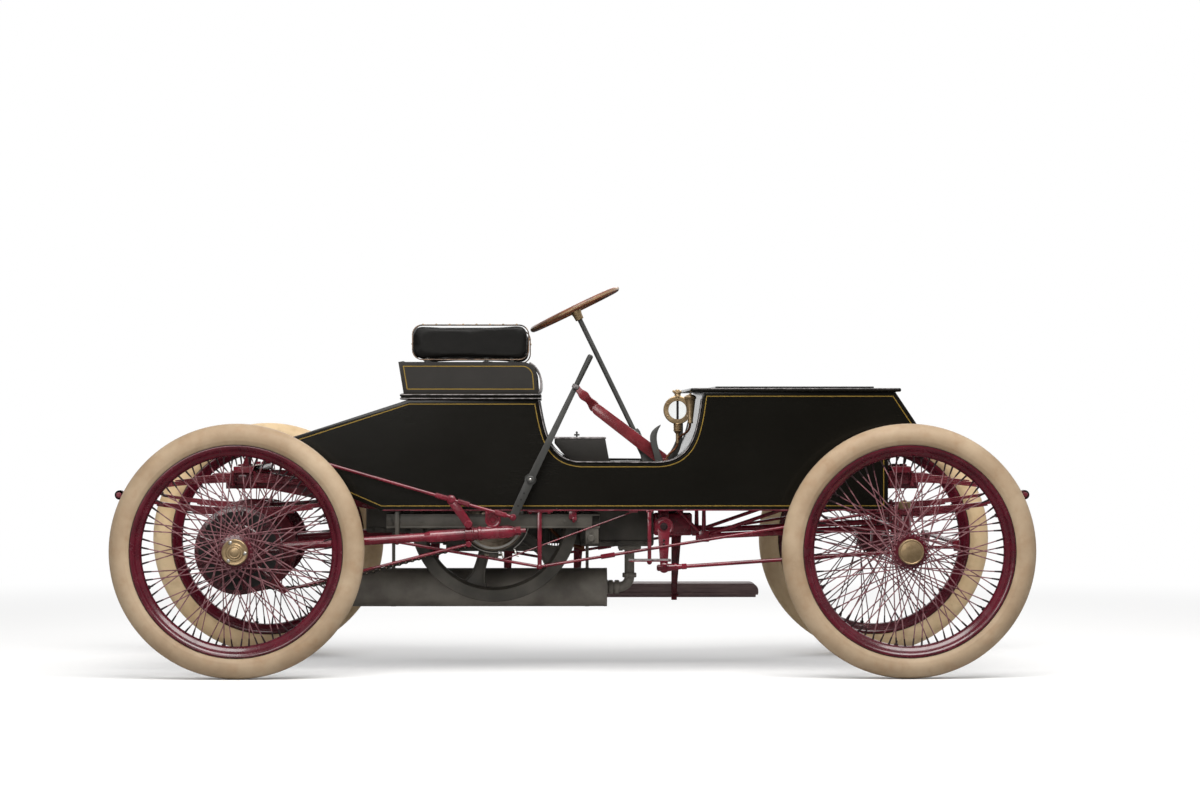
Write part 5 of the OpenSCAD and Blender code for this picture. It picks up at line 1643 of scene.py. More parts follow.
def make_engine():
    """The flat engine's castings, its finned cylinder, crank end and pipes."""
    bm = bmesh.new()
    x, z = CRANK_X, CRANK_Z
    for cx0, cx1, y, z0, z1 in ((x - 186, x + 184, 140, z - 132, z + 118),
                                (x - 489, x - 266, 130, z - 62, z + 100),
                                (x + 319, x + 604, 130, z - 114, z + 100)):
        block(bm, (cx0 + 1, 4 - y, z0 + 1), (cx1 - 1, y - 4, z1 - 1), 12, 0, 3)
        for side in (-1, 1):
            face = side * (y - 4)
            edge = side * y
            for fz in (z0 + 13, z1 - 13):
                low, high = sorted((face - side * 8, edge))
                block(bm, (cx0 + 8, low, fz - 10), (cx1 - 8, high, fz + 10), 3)
                for i in range(5):
                    nut(bm, vec(cx0 + 26 + (cx1 - cx0 - 52) * i / 4, edge, fz), (0, side, 0), 8, 6)
    for r, x0, x1 in ((106, x - 300, x + 400), (112, x - 272, x - 262), (112, x + 300, x + 330),
                      (112, x - 200, x - 180), (112, x + 180, x + 200)):
        bar(bm, vec(x0, 0, z), vec(x1, 0, z), r, None, 64)
    for k in range(9):
        fin = vec(x + 206 + 10.5 * k, 0, z)
        hoop(bm, [(-2, 100), (-2, 113), (0, 116), (2, 113), (2, 100)], fin, (1, 0, 0), 56)
    for side in (-1, 1):
        plate_y = side * 130
        low, high = sorted((plate_y - side * 4, plate_y + side * 5))
        block(bm, (x + 344, low, z - 99), (x + 396, high, z - 6), 3)
        knob = [(0, 0), (0, 15), (6, 15), (9, 12), (11, 7), (14, 7), (16, 12), (20, 13), (23, 9), (24, 0)]
        turned(bm, knob, vec(x + 365, plate_y + side * 4, z - 82), (0, side, 0), 32)
        stem = vec(x + 365, plate_y + side * 9, z)
        bar(bm, stem - UP * 70, stem - UP * 34, 4, None, 10)
        for px in (x + 351, x + 389):
            for pz in (z - 92, z - 13):
                nut(bm, vec(px, plate_y + side * 5, pz), (0, side, 0), 4.5, 4)
    bar(bm, vec(x, -ROD_Y, z), vec(x, 0, z), 24, None, 32)
    end = vec(x, -ROD_Y, z)
    turned(bm, [(0, 0), (0, 28), (3, 30), (14, 30), (18, 29), (18, 25), (14, 24), (13, 20), (16, 18.5),
                (16, 16), (11, 15), (10, 0)], end, (0, -1, 0), 40, 1)
    nut(bm, end - ACROSS * 10, (0, -1, 0), 9, 7, 1)
    block(bm, (x - 26, -ROD_Y - 15, z - 38), (x + 26, -ROD_Y + 6, z - 24), 3, 1)
    block(bm, (x - 30, -ROD_Y - 4, z + 6), (x - 6, -ROD_Y + 8, z + 40), 3, 1)
    piece("engine_castings", bm, "root", ("cast_iron", "maroon_enamel"), ("engine",), 30)
    bm = bmesh.new()
    for side in (-1, 1):
        y = side * 96
        tube(bm, bent((x + 330, y, z + 98), (x + 280, y, z + 150),
                      (x - 120, y * 0.7, z + 165), (x - 300, y, z + 96), 24), 8)
    drop = bent((x + 150, -146, z + 30), (x + 190, -160, z + 20),
                (x + 200, -160, z - 90), (x + 330, -122, z - 118), 20)
    tube(bm, drop, 6.5)
    for p in (drop[0], drop[-1]):
        nut(bm, p - vec(0, 6, 0), ACROSS, 11, 12)
    turned(bm, [(0, 0), (0, 16), (14, 18), (16, 24), (34, 24), (38, 18), (44, 12), (52, 11), (54, 0)],
           vec(x - 60, -100, z + 116), UP, 28)
    piece("engine_pipes", bm, "root", ("copper",))


def make_flywheel():
    """The flywheel: rim, boss and five arms that flare at both ends."""
    bm = bmesh.new()
    r, half = FLYWHEEL_R, (FLYWHEEL_Y1 - FLYWHEEL_Y0) / 2
    at = vec(CRANK_X, FLYWHEEL_Y0 + half, CRANK_Z)
    hoop(bm, [(-half, r - 44), (-half, r - 4), (3 - half, r - 0.5), (half - 3, r - 0.5), (half, r - 4),
              (half, r - 44), (half - 16, r - 54), (16 - half, r - 54)], at, ACROSS, 120)
    hoop(bm, [(-half, 25), (-half, 50), (6 - half, 58), (14 - half, 61), (half - 14, 61), (half - 6, 58),
              (half, 50), (half, 25)], at, ACROSS)
    first, last = 50, r - 46
    for k in range(5):
        turn = math.radians(38 + 72 * k)
        out = polar(turn, 1)
        side = out.cross(ACROSS)
        left, right = [], []
        for i in range(17):
            t = i / 16
            middle = at + out * (first + (last - first) * t)
            flare = side * (20 + 15 * (1 - t) ** 5 + 36 * t ** 7)
            left.append(middle + flare)
            right.append(middle - flare)
        slab(bm, [(p.x, p.z) for p in left + right[::-1]], at.y - 9, at.y + 9, 1.2)
        for edge, way in ((left, -1), (right, 1)):
            swept(bm, oblong(7, 34, 1.6), [p + side * (way * 3) for p in edge], side)
    nuts_round(bm, at - ACROSS * 56, (0, -1, 0), 40, 2, 9, 8, 75 / 180)
    piece("flywheel_casting", bm, "flywheel", ("cast_iron",), ("flywheel",), 32)


def add_teeth(bm, at, r, teeth, wide):
    """A sprocket's ring of teeth."""
    outline = []
    for k in range(teeth):
        for part, reach in ((-0.34, -5.5), (-0.2, -4), (-0.09, 4.5), (0.09, 4.5), (0.2, -4), (0.34, -5.5)):
            turn = TURN * (k + part) / teeth
            outline.append((at.x + (r + reach) * math.cos(turn), at.z + (r + reach) * math.sin(turn)))
    slab(bm, outline, at.y - wide / 2, at.y + wide / 2, 0)


def chain_path(grow):
    """The chain's loop: over both sprockets, slack along the bottom."""
    front, rear = vec(CRANK_X, 0, CRANK_Z), vec(REAR_X, 0, GEAR_Z)
    run = front - rear
    rf, rr = 92 + grow, 135 + grow
    top = math.degrees(math.atan2(run.z, run.x) + math.acos((rr - rf) / run.length))
    loop = arc(front.x, front.z, rf, top, -100, 24)
    p, q = loop[-1], arc(rear.x, rear.z, rr, -100, -100, 1)[0]
    reach = run.length / 3
    loop += curve(p, (p[0] - reach, p[1] - 30), (q[0] + reach, q[1] - 62), q, 30)[1:]
    loop += arc(rear.x, rear.z, rr, -100, top - 360, 24)[1:]
    return [vec(x, CHAIN_Y, z) for x, z in loop]


def stations(path, count):
    """Evenly spaced points round a closed path."""
    ends = path[1:] + path[:1]
    total = sum((b - a).length for a, b in zip(path, ends))
    points, run, wanted = [], 0.0, 0.0
    for a, b in zip(path, ends):
        length = (b - a).length
        while wanted < run + length and len(points) < count:
            points.append(a.lerp(b, (wanted - run) / length))
            wanted += total / count
        run += length
    return points, total


def make_drive(settings):
    """The chain, link by link, the speed drum with its bands and the rear sprocket."""
    path = chain_path(8)
    _, total = stations(path, 4)
    count = 2 * round(total / (settings.pitch / MM) / 2)
    pins, _ = stations(path, count)
    bm = bmesh.new()
    for i, (a, b) in enumerate(zip(pins, pins[1:] + pins[:1])):
        run = (b - a).normalized()
        out = run.cross(ACROSS)
        wide = 9.5 if i % 2 else 6.5
        for side in (-1, 1):
            plate = [(a + run * s + out * t) for s, t in
                     ((-6.5, -3), (-6.5, 3), (-3, 7), (3, 7), (8, 4.6))]
            plate += [(b + run * s + out * t) for s, t in
                      ((-8, 4.6), (-3, 7), (3, 7), (6.5, 3), (6.5, -3), (3, -7), (-3, -7), (-8, -4.6))]
            plate += [(a + run * s + out * t) for s, t in ((8, -4.6), (3, -7), (-3, -7))]
            y0, y1 = sorted((CHAIN_Y + side * wide, CHAIN_Y + side * (wide + 2.6)))
            slab(bm, [(p.x, p.z) for p in plate], y0, y1, 0)
        bar(bm, a - ACROSS * 12.4, a + ACROSS * 12.4, 2.9, None, 8, 1)
        bar(bm, a - ACROSS * 6.4, a + ACROSS * 6.4, 5.4, None, 10, 1)
    piece("drive_chain_links", bm, "root", ("chain_steel", "worn_steel"),
          ("drive_chain",), 30)
    bm = bmesh.new()
    front, rear = vec(CRANK_X, CHAIN_Y, CRANK_Z), vec(REAR_X, CHAIN_Y, GEAR_Z)
    add_teeth(bm, front, 100, 25, 9)
    bar(bm, front - ACROSS * 12.5, front + ACROSS * 12.5, 40, None, 40)
    y = -INNER_Y + 20
    at = vec(CRANK_X, y, CRANK_Z)
    hoop(bm, [(-14, 25), (-14, 46), (-12, 50), (-3, 52), (0, 55), (0, 84), (3, 88), (3, 98), (-1, 101),
              (-2, 105), (-2, 111), (1, 115), (6, 118), (50, 118), (56, 113), (56, 25)], at, ACROSS, 96)
    hoop(bm, [(-3.5, 104), (-3.5, 112), (-1, 112), (-1, 104)], at, ACROSS, 96, 1)
    nuts_round(bm, at + ACROSS, (0, -1, 0), 70, 6, 7.5, 7, 0.3)
    hoop(bm, [(10, 118), (10, 122), (46, 122), (46, 118)], at, ACROSS, 96, 2)
    block(bm, (CRANK_X - 18, y + 14, CRANK_Z - 146), (CRANK_X + 18, y + 42, CRANK_Z - 119), 4, 2)
    bolt, reach = vec(CRANK_X, y + 28, CRANK_Z - 134), vec(34, 0, 0)
    bar(bm, bolt - reach, bolt + reach, 5, None, 10)
    for reach, start, end, hook in ((125, -160, -78, 24), (133, 20, -56, 26)):
        band = [vec(CRANK_X + a, y + 12, CRANK_Z + b) for a, b in arc(0, 0, reach, start, end, 24)]
        swept(bm, oblong(22, 3.4, 1), band, ACROSS, None, 1)
        tip = band[-1]
        ways = (vec(0, 0, 0), vec(4, -3, -6), vec(10, -5, -hook), vec(20, -5, -hook - 2))
        tube(bm, [tip + way for way in ways], 3, 8, 1)
    piece("speed_drum", bm, "root", ("worn_steel", "bright_steel", "cast_iron"),
          ("transmission_drum",), 30)
    bm = bmesh.new()
    add_teeth(bm, rear, 143, 36, 9)
    collar(bm, rear, ACROSS, 12, 60, 74, 2, 4, 48)
    nuts_round(bm, rear - ACROSS * 4.5, (0, -1, 0), 118, 12, 6, 5)
    piece("rear_sprocket", bm, "root", ("chain_steel",))


def make_exhaust():
    """The long muffler, its elbow up to the engine and its hangers."""
    bm = bmesh.new()
    x0, x1 = MUFFLER_X - MUFFLER_LEN, MUFFLER_X
    at, length = vec(x0, 0, MUFFLER_Z), MUFFLER_LEN
    turned(bm, [(0, 0), (0, 66), (2, 72), (4, 73.6), (26, 73.6), (28, 73.2), (length - 12, 73.2),
                (length - 11, 73.8), (length - 0.8, 73.8), (length, 73), (length, 69), (length - 3, 68),
                (length - 3, 30), (length + 4, 27), (length + 4, 0)], at, (1, 0, 0), 96)
    seam = [vec(x, 0, MUFFLER_Z) + vec(0, 73.2 * math.cos(-0.6), 73.2 * math.sin(-0.6))
            for x in (x0 + 30, x1 - 14)]
    bar(bm, seam[0], seam[1], 1.2, None, 6)
    pipe = [(-70, 22.2), (-70, 25.6), (-66, 26), (-2, 26), (4, 30), (4, 22.2)]
    hoop(bm, pipe, at, (1, 0, 0), 36)
    run = [vec(x1 - 6, 0, MUFFLER_Z), vec(PIPE_X - 40, 0, MUFFLER_Z)]
    run += [vec(PIPE_X - 40 + 40 * math.sin(t), 0, MUFFLER_Z + 40 - 40 * math.cos(t))
            for t in (math.radians(9 * i) for i in range(1, 11))]
    run += [vec(PIPE_X, 0, CRANK_Z - 114)]
    tube(bm, run, PIPE_R - 2, 28)
    for at_x, at_z, way in ((PIPE_X, CRANK_Z - 122, UP), (PIPE_X, MUFFLER_Z + 46, UP),
                            (PIPE_X - 48, MUFFLER_Z, vec(1, 0, 0)), (x1 + 14, MUFFLER_Z, vec(1, 0, 0))):
        collar(bm, vec(at_x, 0, at_z), way, 9, 18, 27, 2, 3, 32)
    x0, x1, low, high = PIPE_X - 44, PIPE_X + 44, CRANK_Z - 126, CRANK_Z - 115
    slab(bm, [(x0, low), (x1, low), (x1, high), (x0, high)], -28, 28, 4)
    for px in (-33, 33):
        nut(bm, vec(PIPE_X + px, 0, low), (0, 0, -1), 9, 8)
    for hx, hz in ((57, CRANK_Z - 114), (-683, CRANK_Z - 62)):
        block(bm, (hx - 6, -12, MUFFLER_Z + MUFFLER_R - 2), (hx + 6, 12, hz + 2), 1)
        collar(bm, vec(hx, 0, MUFFLER_Z), (1, 0, 0), 9, 72, 74, steps=72)
        stud(bm, vec(hx, 0, MUFFLER_Z + MUFFLER_R + 14), ACROSS, 12, 7)
    piece("exhaust_line", bm, "root", ("sheet_iron",), ("exhaust",), 30)


# ---- steering ----
PIN_Y = WHEEL_Y - 166
ARM_Z = HUB_Z + 14
LINK_Z = HUB_Z - 16
COLUMN_LOW = vec(416, -220, 520)
COLUMN_DIR = vec(-math.sin(math.radians(26)), 0, math.cos(math.radians(26)))
DROP = vec(338, 12 - (BODY_Y - 25), HUB_Z + 81)
DROP_END = vec(338, 25 - BODY_Y, HUB_Z + 81 - 153)


def on_column(z):
    """The point of the steering column at that height."""
    return COLUMN_LOW + COLUMN_DIR * ((z - COLUMN_LOW.z) / COLUMN_DIR.z)


def add_knuckle(bm, side):
    """A knuckle with its pin, its stub axle and the arm that the tie rod joins."""
    pin = vec(FRONT_X, side * PIN_Y, HUB_Z)
    post = [(-26, 0), (-26, 24), (-22, 28), (28, 28), (34, 25), (34, 0)]
    turned(bm, post, pin, UP, 32, 0)
    bar(bm, pin, pin + vec(0, 0, 136), 12.8, None, 20, 0)
    turned(bm, [(127, 0), (127, 23), (129, 24), (138, 24), (140, 21.5), (142, 21.5), (144, 24), (148, 24),
                (150, 22), (150, 0)], pin, UP, 32, 0)
    turned(bm, [(150, 0), (150, 22), (152, 23), (172, 23), (175, 21), (176, 14), (176, 0)], pin, UP, 32, 1)
    nut(bm, pin + vec(0, 0, 176), UP, 9, 5, 1)
    out = vec(0, side, 0)
    turned(bm, [(0, 22), (12, 26), (20, 25), (34, 24), (88, 24), (92, 20), (92, 0)], pin, out, 28, 0)
    bar(bm, pin, pin + out * (166 + 62), 16, None, 20, 0)
    tip = pin + vec(190, 0, 0)
    slab_top = ARM_Z - HUB_Z
    block(bm, (pin.x, pin.y - 12, ARM_Z - 12), (tip.x, pin.y + 12, ARM_Z), 3)
    bar(bm, tip + vec(0, 0, slab_top - 12), tip + vec(0, 0, slab_top), 15, None, 24)
    bar(bm, tip + vec(0, 0, slab_top), tip + vec(0, 0, slab_top + 22), 5.9, None, 12)
    nut(bm, tip + vec(0, 0, slab_top - 12), (0, 0, -1), 10, 8)


def make_steering(settings):
    """The knuckles, the tie rod, the drag link, the drop arm, the gear and the wheel."""
    for name, side in (("right", -1), ("left", 1)):
        bm = bmesh.new()
        add_knuckle(bm, side)
        if side < 0:
            ball_y = PIN_Y - 110
            block(bm, (FRONT_X - 11, -PIN_Y, LINK_Z - 18), (FRONT_X + 11, -ball_y, LINK_Z - 6), 3)
            bar(bm, vec(FRONT_X, -ball_y, LINK_Z - 18), vec(FRONT_X, -ball_y, LINK_Z - 6), 14, None, 24)
            bar(bm, vec(FRONT_X, -ball_y, LINK_Z - 8), vec(FRONT_X, -ball_y, LINK_Z + 18), 5.9, None, 12)
        piece("steering_knuckle_" + name, bm, "knuckle_" + name, ("spring_maroon", "brass"),
              ("knuckle_" + name,), 30)
    bm = bmesh.new()
    rod_z, x = ARM_Z + 11, FRONT_X + 190
    bar(bm, vec(x, -PIN_Y + 14, rod_z), vec(x, PIN_Y - 14, rod_z), 9, None, 16)
    for side in (-1, 1):
        eye = vec(x, side * PIN_Y, rod_z)
        hole = 6.1 if side < 0 else 7.6
        collar(bm, eye, UP, 10, hole, 15, 1.5, 2, 28)
        bar(bm, eye - vec(0, side * 60, 0), eye - vec(0, side * 14, 0), 11.5, None, 6)
    piece("tie_rod_bar", bm, "tie_rod", ("maroon_enamel",), ("tie_rod",))
    bm = bmesh.new()
    front = vec(FRONT_X, 110 - PIN_Y, LINK_Z + 4)
    run = (front - DROP_END).normalized()
    bar(bm, DROP_END + run * 12, front - run * 12, 7, None, 16)
    bar(bm, DROP_END + run * 10, DROP_END + run * 66, 15, 9, 20)
    bar(bm, DROP_END + run * 40, DROP_END + run * 46, 15.5, None, 20)
    bar(bm, DROP_END + run * 66, DROP_END + run * 84, 10.5, None, 6)
    collar(bm, front, UP, 9, 6.1, 14, 1.5, 2, 28)
    turned(bm, [(-12, 0), (-12, 9), (-9, 16), (-6, 19), (2, 19), (4, 16), (4, 0)], DROP_END, ACROSS, 32)
    nut(bm, DROP_END - vec(22, 0, 0), (-1, 0, 0), 9, 5)
    bar(bm, DROP_END - vec(24, 0, 0), DROP_END, 12, None, 20)
    piece("drag_link_bar", bm, "drag_link", ("maroon_enamel",), ("drag_link",))
    bm = bmesh.new()
    hoop(bm, [(0, 14.2), (0, 21), (2, 22.5), (3.5, 27), (2, 30), (2, 34), (5, 36), (23, 36), (26, 33),
              (26, 14.2)], DROP, ACROSS, 44)
    outline = [(DROP.x - 23, DROP.z - 8), (DROP_END.x - 13, DROP_END.z)]
    outline += arc(DROP_END.x, DROP_END.z, 13.5, 180, 360, 10)
    outline += [(DROP.x + 23, DROP.z - 8), (DROP.x, DROP.z - 16)]
    slab(bm, outline, DROP.y + 1, DROP.y + 13, 2.5)
    for dz in (-52, -66):
        screw(bm, vec(DROP.x, DROP.y + 1, DROP.z + dz), (0, -1, 0), 5, 1)
    piece("drop_arm_iron", bm, "drop_arm", ("maroon_enamel", "nipple_dark"), ("drop_arm",))
    make_steering_box()
    make_steering_wheel(settings)


def make_steering_box():
    """The gear case under the floor and the column's fixed jacket."""
    bm = bmesh.new()
    y0, y1 = -262, -178
    block(bm, (304.5, y0, DROP.z - 39), (449.5, y1, DROP.z + 45), 9, 0, 3)
    for x, z in ((316, -28), (316, 34), (438, -28), (438, 34)):
        nut(bm, vec(x, y0 + 0.5, DROP.z + z), (0, -1, 0), 8, 6)
        nut(bm, vec(x, y1 - 0.5, DROP.z + z), (0, 1, 0), 8, 6)
    hoop(bm, [(31, 14), (31, 22), (33, 24), (160, 24), (166, 30), (172, 30), (172, 14)], DROP, ACROSS, 36)
    bar(bm, DROP - ACROSS * 4, vec(DROP.x, y0, DROP.z), 13.8, None, 24, 1)
    nut(bm, DROP - ACROSS * 2, (0, -1, 0), 12, 6, 1)
    block(bm, (DROP.x - 20, y0 - 85, DROP.z + 10), (DROP.x + 20, y0 - 61, BOTTOM_Z + 2), 4)
    block(bm, (DROP.x - 20, y0 - 85, BOTTOM_Z - 8), (DROP.x + 20, y0 - 40, BOTTOM_Z + 1.5), 3)
    for z in (DROP.z + 28, BOTTOM_Z - 20):
        nut(bm, vec(DROP.x, y0 - 85, z), (0, -1, 0), 9, 7)
    piece("steering_gear_case", bm, "root", ("maroon_enamel", "nipple_dark"),
          ("steering_box",), 30)
    bm = bmesh.new()
    top = on_column(SILL_Z + 119)
    low = on_column(DROP.z + 46)
    reach = (top - low).length
    hoop(bm, [(0, 9.9), (0, 19), (reach - 8, 19), (reach, 16), (reach, 9.9)], low, COLUMN_DIR, 32)
    hoop(bm, [(reach - 18, 18), (reach - 18, 20), (reach - 13, 20), (reach - 13, 18)], low, COLUMN_DIR,
         32, 1)
    foot = on_column(FLOOR_Z)
    slab(bm, [(foot.x - 30, FLOOR_Z), (foot.x + 24, FLOOR_Z), (foot.x - 2, FLOOR_Z + 34),
              (foot.x - 40, FLOOR_Z + 44)], -246, -194, 3)
    collar(bm, on_column(FLOOR_Z + 8), COLUMN_DIR, 6, 14, 30, 6, 3, 32)
    piece("steering_jacket", bm, "root", ("lever_grey", "edge_wear_and_highlight"), (), 30)


def make_steering_wheel(settings):
    """The wooden rim with its brass band, the hub, the four arms and the shaft."""
    bm = bmesh.new()
    hub = on_column(BOTTOM_Z + 740)
    bar(bm, on_column(BOTTOM_Z + 22), hub - COLUMN_DIR * 28, 9.4, None, 20, 2)
    centre = hub + COLUMN_DIR * 12
    wood = settings.rim_wood / MM
    radius = 185 - wood
    rim = [(wood * 0.92 * math.sin(TURN * i / 20), radius + wood * math.cos(TURN * i / 20))
           for i in range(20)]
    hoop(bm, rim, centre, COLUMN_DIR, 96)
    outside = radius + wood
    hoop(bm, [(-3.2, outside - 2), (-3, outside - 0.1), (3, outside - 0.1), (3.2, outside - 2)],
         centre, COLUMN_DIR, 96, 1)
    turned(bm, [(-32, 0), (-32, 14), (-30, 16), (-12, 17), (-6, 19), (8, 19), (12, 24), (16, 24), (18, 21),
                (22, 12), (26, 10), (28, 0)], hub, COLUMN_DIR, 36, 1)
    across = COLUMN_DIR.cross(ACROSS).normalized()
    for k in range(4):
        turn = math.radians(45 + 90 * k)
        out = across * math.cos(turn) + ACROSS * math.sin(turn)
        run = [hub + COLUMN_DIR * 6 + out * 16]
        run += [hub + COLUMN_DIR * (6 + 4 * math.sin(t * 1.5)) + out * (16 + (radius - 18) * t)
                for t in (i / 8 for i in range(1, 9))]
        swept(bm, oblong(17, 5.5, 1.5), run, out.cross(COLUMN_DIR), [1.15 - 0.03 * i for i in range(9)], 1)
        screw(bm, hub + COLUMN_DIR * 11 + out * 150, COLUMN_DIR, 3.4, 1)
    piece("steering_wheel_rim", bm, "steering_wheel", ("bent_wood", "brass", "lever_grey"),
          ("steering_wheel",), 32)


# ---- levers and fittings ----
LEVER_Y = -BODY_Y - 55
STRAP_Y = -260
LEVER_FOOT, LEVER_PIVOT, LEVER_TOP = (-221, BOTTOM_Z - 24), (-157, BOTTOM_Z + 114), (64, BOTTOM_Z + 568)


def flat_link(p, q, wide, wide_end=None):
    """The outline of a flat bar with rounded ends."""
    turn = math.degrees(math.atan2(q[1] - p[1], q[0] - p[0]))
    end = (wide if wide_end is None else wide_end) / 2
    return arc(*p, wide / 2, turn + 90, turn + 270) + arc(*q, end, turn - 90, turn + 90)


def make_levers():
    """The brake lever and its rods outside the body, and the lever and irons on the floor."""
    bm = bmesh.new()
    slab(bm, flat_link(LEVER_FOOT, LEVER_PIVOT, 30, 34), LEVER_Y + 1, LEVER_Y + 11, 1.5)
    neck = (LEVER_PIVOT[0] + 0.74 * 221, LEVER_PIVOT[1] + 0.74 * 454)
    slab(bm, flat_link(LEVER_PIVOT, neck, 28, 19), LEVER_Y, LEVER_Y + 10, 1.5)
    foot, pivot, top = (vec(p[0], LEVER_Y + 6, p[1]) for p in (LEVER_FOOT, LEVER_PIVOT, LEVER_TOP))
    run = (top - pivot).normalized()
    # painted shade: three dark discs stand for the shade in the lever's holes
    for k in range(3):
        hole = foot.lerp(pivot, 0.3 + 0.17 * k) - ACROSS * 5.4
        bar(bm, hole + ACROSS * 0.5, hole - ACROSS * 0.25, 3.6, None, 12, 1)
    bar(bm, pivot - ACROSS * 10, vec(pivot.x, 0.5 - BODY_Y, pivot.z), 10, None, 20)
    turned(bm, [(0, 0), (0, 15), (5, 15), (8, 11), (8, 0)], pivot - ACROSS * 4, (0, -1, 0), 24, 0)
    screw(bm, pivot - ACROSS * 11, (0, -1, 0), 6, 2)
    collar(bm, vec(pivot.x, -BODY_Y - 5, pivot.z), ACROSS, 5, 9, 22, steps=28)
    grip = [(0, 0), (0, 8.6), (4, 9.4), (60, 10.2), (114, 10.8), (122, 10.4), (126, 7), (127, 0)]
    turned(bm, grip, top - run * 120, run, 24, 0)
    collar(bm, top - run * 124, run, 8, 8, 13.5, 1.5, 3, 24, 3)
    piece("brake_lever_bar", bm, "root", ("lever_grey", "dark_inside", "bright_steel", "edge_wear_and_highlight"),
          ("brake_lever",), 30)
    bm = bmesh.new()
    y = LEVER_Y - 12
    foot = vec(LEVER_FOOT[0], y, LEVER_FOOT[1])
    swing = vec(-448, y, BOTTOM_Z + 41)
    anchor = vec(-1050, y, BOTTOM_Z + 215)
    bar(bm, foot, swing, 6, None, 14)
    bar(bm, swing, anchor, 6, None, 14)
    for p, q, t in ((foot, swing, 0.2), (foot, swing, 0.8), (swing, anchor, 0.06), (swing, anchor, 0.9)):
        run = (q - p).normalized()
        at = p.lerp(q, t)
        bar(bm, at - run * 22, at + run * 22, 9.5, None, 6)
    for eye, r, reach in ((foot, 12, LEVER_Y), (anchor, 12, 0.5 - BODY_Y)):
        turned(bm, [(-7, 0), (-7, r - 2), (-5, r), (reach - y, r), (reach - y, 0)], eye, ACROSS, 24)
        nut(bm, eye - ACROSS * 6.5, (0, -1, 0), 7, 2.5)
    turned(bm, [(-9, 0), (-9, 10), (-6, 14), (-3, 17), (7, 17), (9, 14), (9, 0)], swing, ACROSS, 28)
    low = vec(-384, y, STUB_Z + 22)
    slab(bm, flat_link((swing.x, swing.z), (low.x, low.z), 34, 30), y - 4, y + 4, 2)
    turned(bm, [(-7, 0), (-7, 12), (-4, 15), (12, 15), (12, 0)], low, ACROSS, 28)
    clip = vec(-384, -ROD_Y, STUB_Z - 15)
    collar(bm, clip, vec(1, 0, 70 / (STUB_X - REAR_X)), 13, 24, 30, 2, 2)
    block(bm, (-394, -ROD_Y - 16, clip.z + 24), (-374, -ROD_Y + 8, low.z + 4), 3)
    block(bm, (-393, -ROD_Y - 14, clip.z - 46), (-375, -ROD_Y + 8, clip.z - 22), 4)
    stud(bm, clip - vec(0, 3, 36), ACROSS, 20, 8)
    pull = (clip - vec(0, 20, 36), vec(-1062, -ROD_Y - 36, HUB_Z - 150))
    bar(bm, pull[0], pull[1], 5, None, 12)
    for end in pull:
        turned(bm, [(-7, 0), (-7, 9), (-5, 11), (5, 11), (7, 9), (7, 0)], end, ACROSS, 20)
    slab(bm, flat_link((pull[1].x, pull[1].z), (REAR_X + 28, AXLE_Z - 36), 24, 32), -ROD_Y - 30,
         -ROD_Y - 22, 1.5)
    piece("brake_rods", bm, "root", ("maroon_enamel", "dark_inside"), ("brake_rod",), 30)
    bm = bmesh.new()
    joint = (94, SILL_Z + 195)
    low, high = (336, FLOOR_Z + 22), (16, SILL_Z + 278)
    slab(bm, flat_link(low, joint, 48, 42), STRAP_Y - 4, STRAP_Y + 4, 1.5)
    run = vec(joint[0] - 8, STRAP_Y + 4, joint[1] + 6), vec(high[0], STRAP_Y + 4, high[1])
    strap = [run[0].lerp(run[1], i / 14) for i in range(15)]
    for i in range(14):
        side = (strap[i + 1] - strap[i]).normalized()
        ends = []
        for k in (i, i + 1):
            lean = vec(math.sin(0.5 * k) * 0.25, 1, math.sin(0.34 * k) * 0.8).normalized()
            flat = side.cross(lean).normalized() * ((38 - 0.8 * k + 5 * math.sin(k * 0.9)) / 2)
            ends.append((strap[k] - flat, strap[k] + flat))
        (a, b), (d, c) = ends
        face = bm.faces.new([bm.verts.new(p) for p in (a, b, c, d)])
        face.normal_update()
        made = bmesh.ops.extrude_face_region(bm, geom=[face])["geom"]
        bmesh.ops.translate(bm, verts=verts_of(made), vec=face.normal * -6)
    bmesh.ops.remove_doubles(bm, verts=bm.verts, dist=0.4)
    block(bm, (310, STRAP_Y - 10, FLOOR_Z), (356, STRAP_Y + 10, FLOOR_Z + 26), 4)
    for y in (-290, -150):
        block(bm, (316, y - 18, FLOOR_Z), (340, y + 18, FLOOR_Z + 12), 3, 2)
    claw = (curve((312, FLOOR_Z), (298, FLOOR_Z + 80), (262, FLOOR_Z + 118), (330, FLOOR_Z + 152), 14)
            + curve((329, FLOOR_Z + 146), (300, FLOOR_Z + 104), (322, FLOOR_Z + 60), (346, FLOOR_Z), 14))
    slab(bm, claw, -300, -282, 3, 2)
    horn = (curve((322, FLOOR_Z), (372, FLOOR_Z + 34), (398, FLOOR_Z + 84), (410, FLOOR_Z + 170), 14)
            + curve((418, FLOOR_Z + 168), (424, FLOOR_Z + 84), (404, FLOOR_Z + 20), (360, FLOOR_Z), 14))
    slab(bm, horn, -158, -142, 3, 2)
    piece("floor_lever_irons", bm, "root", ("strap_maroon", "nipple_dark", "lever_grey"),
          ("floor_levers",), 30)


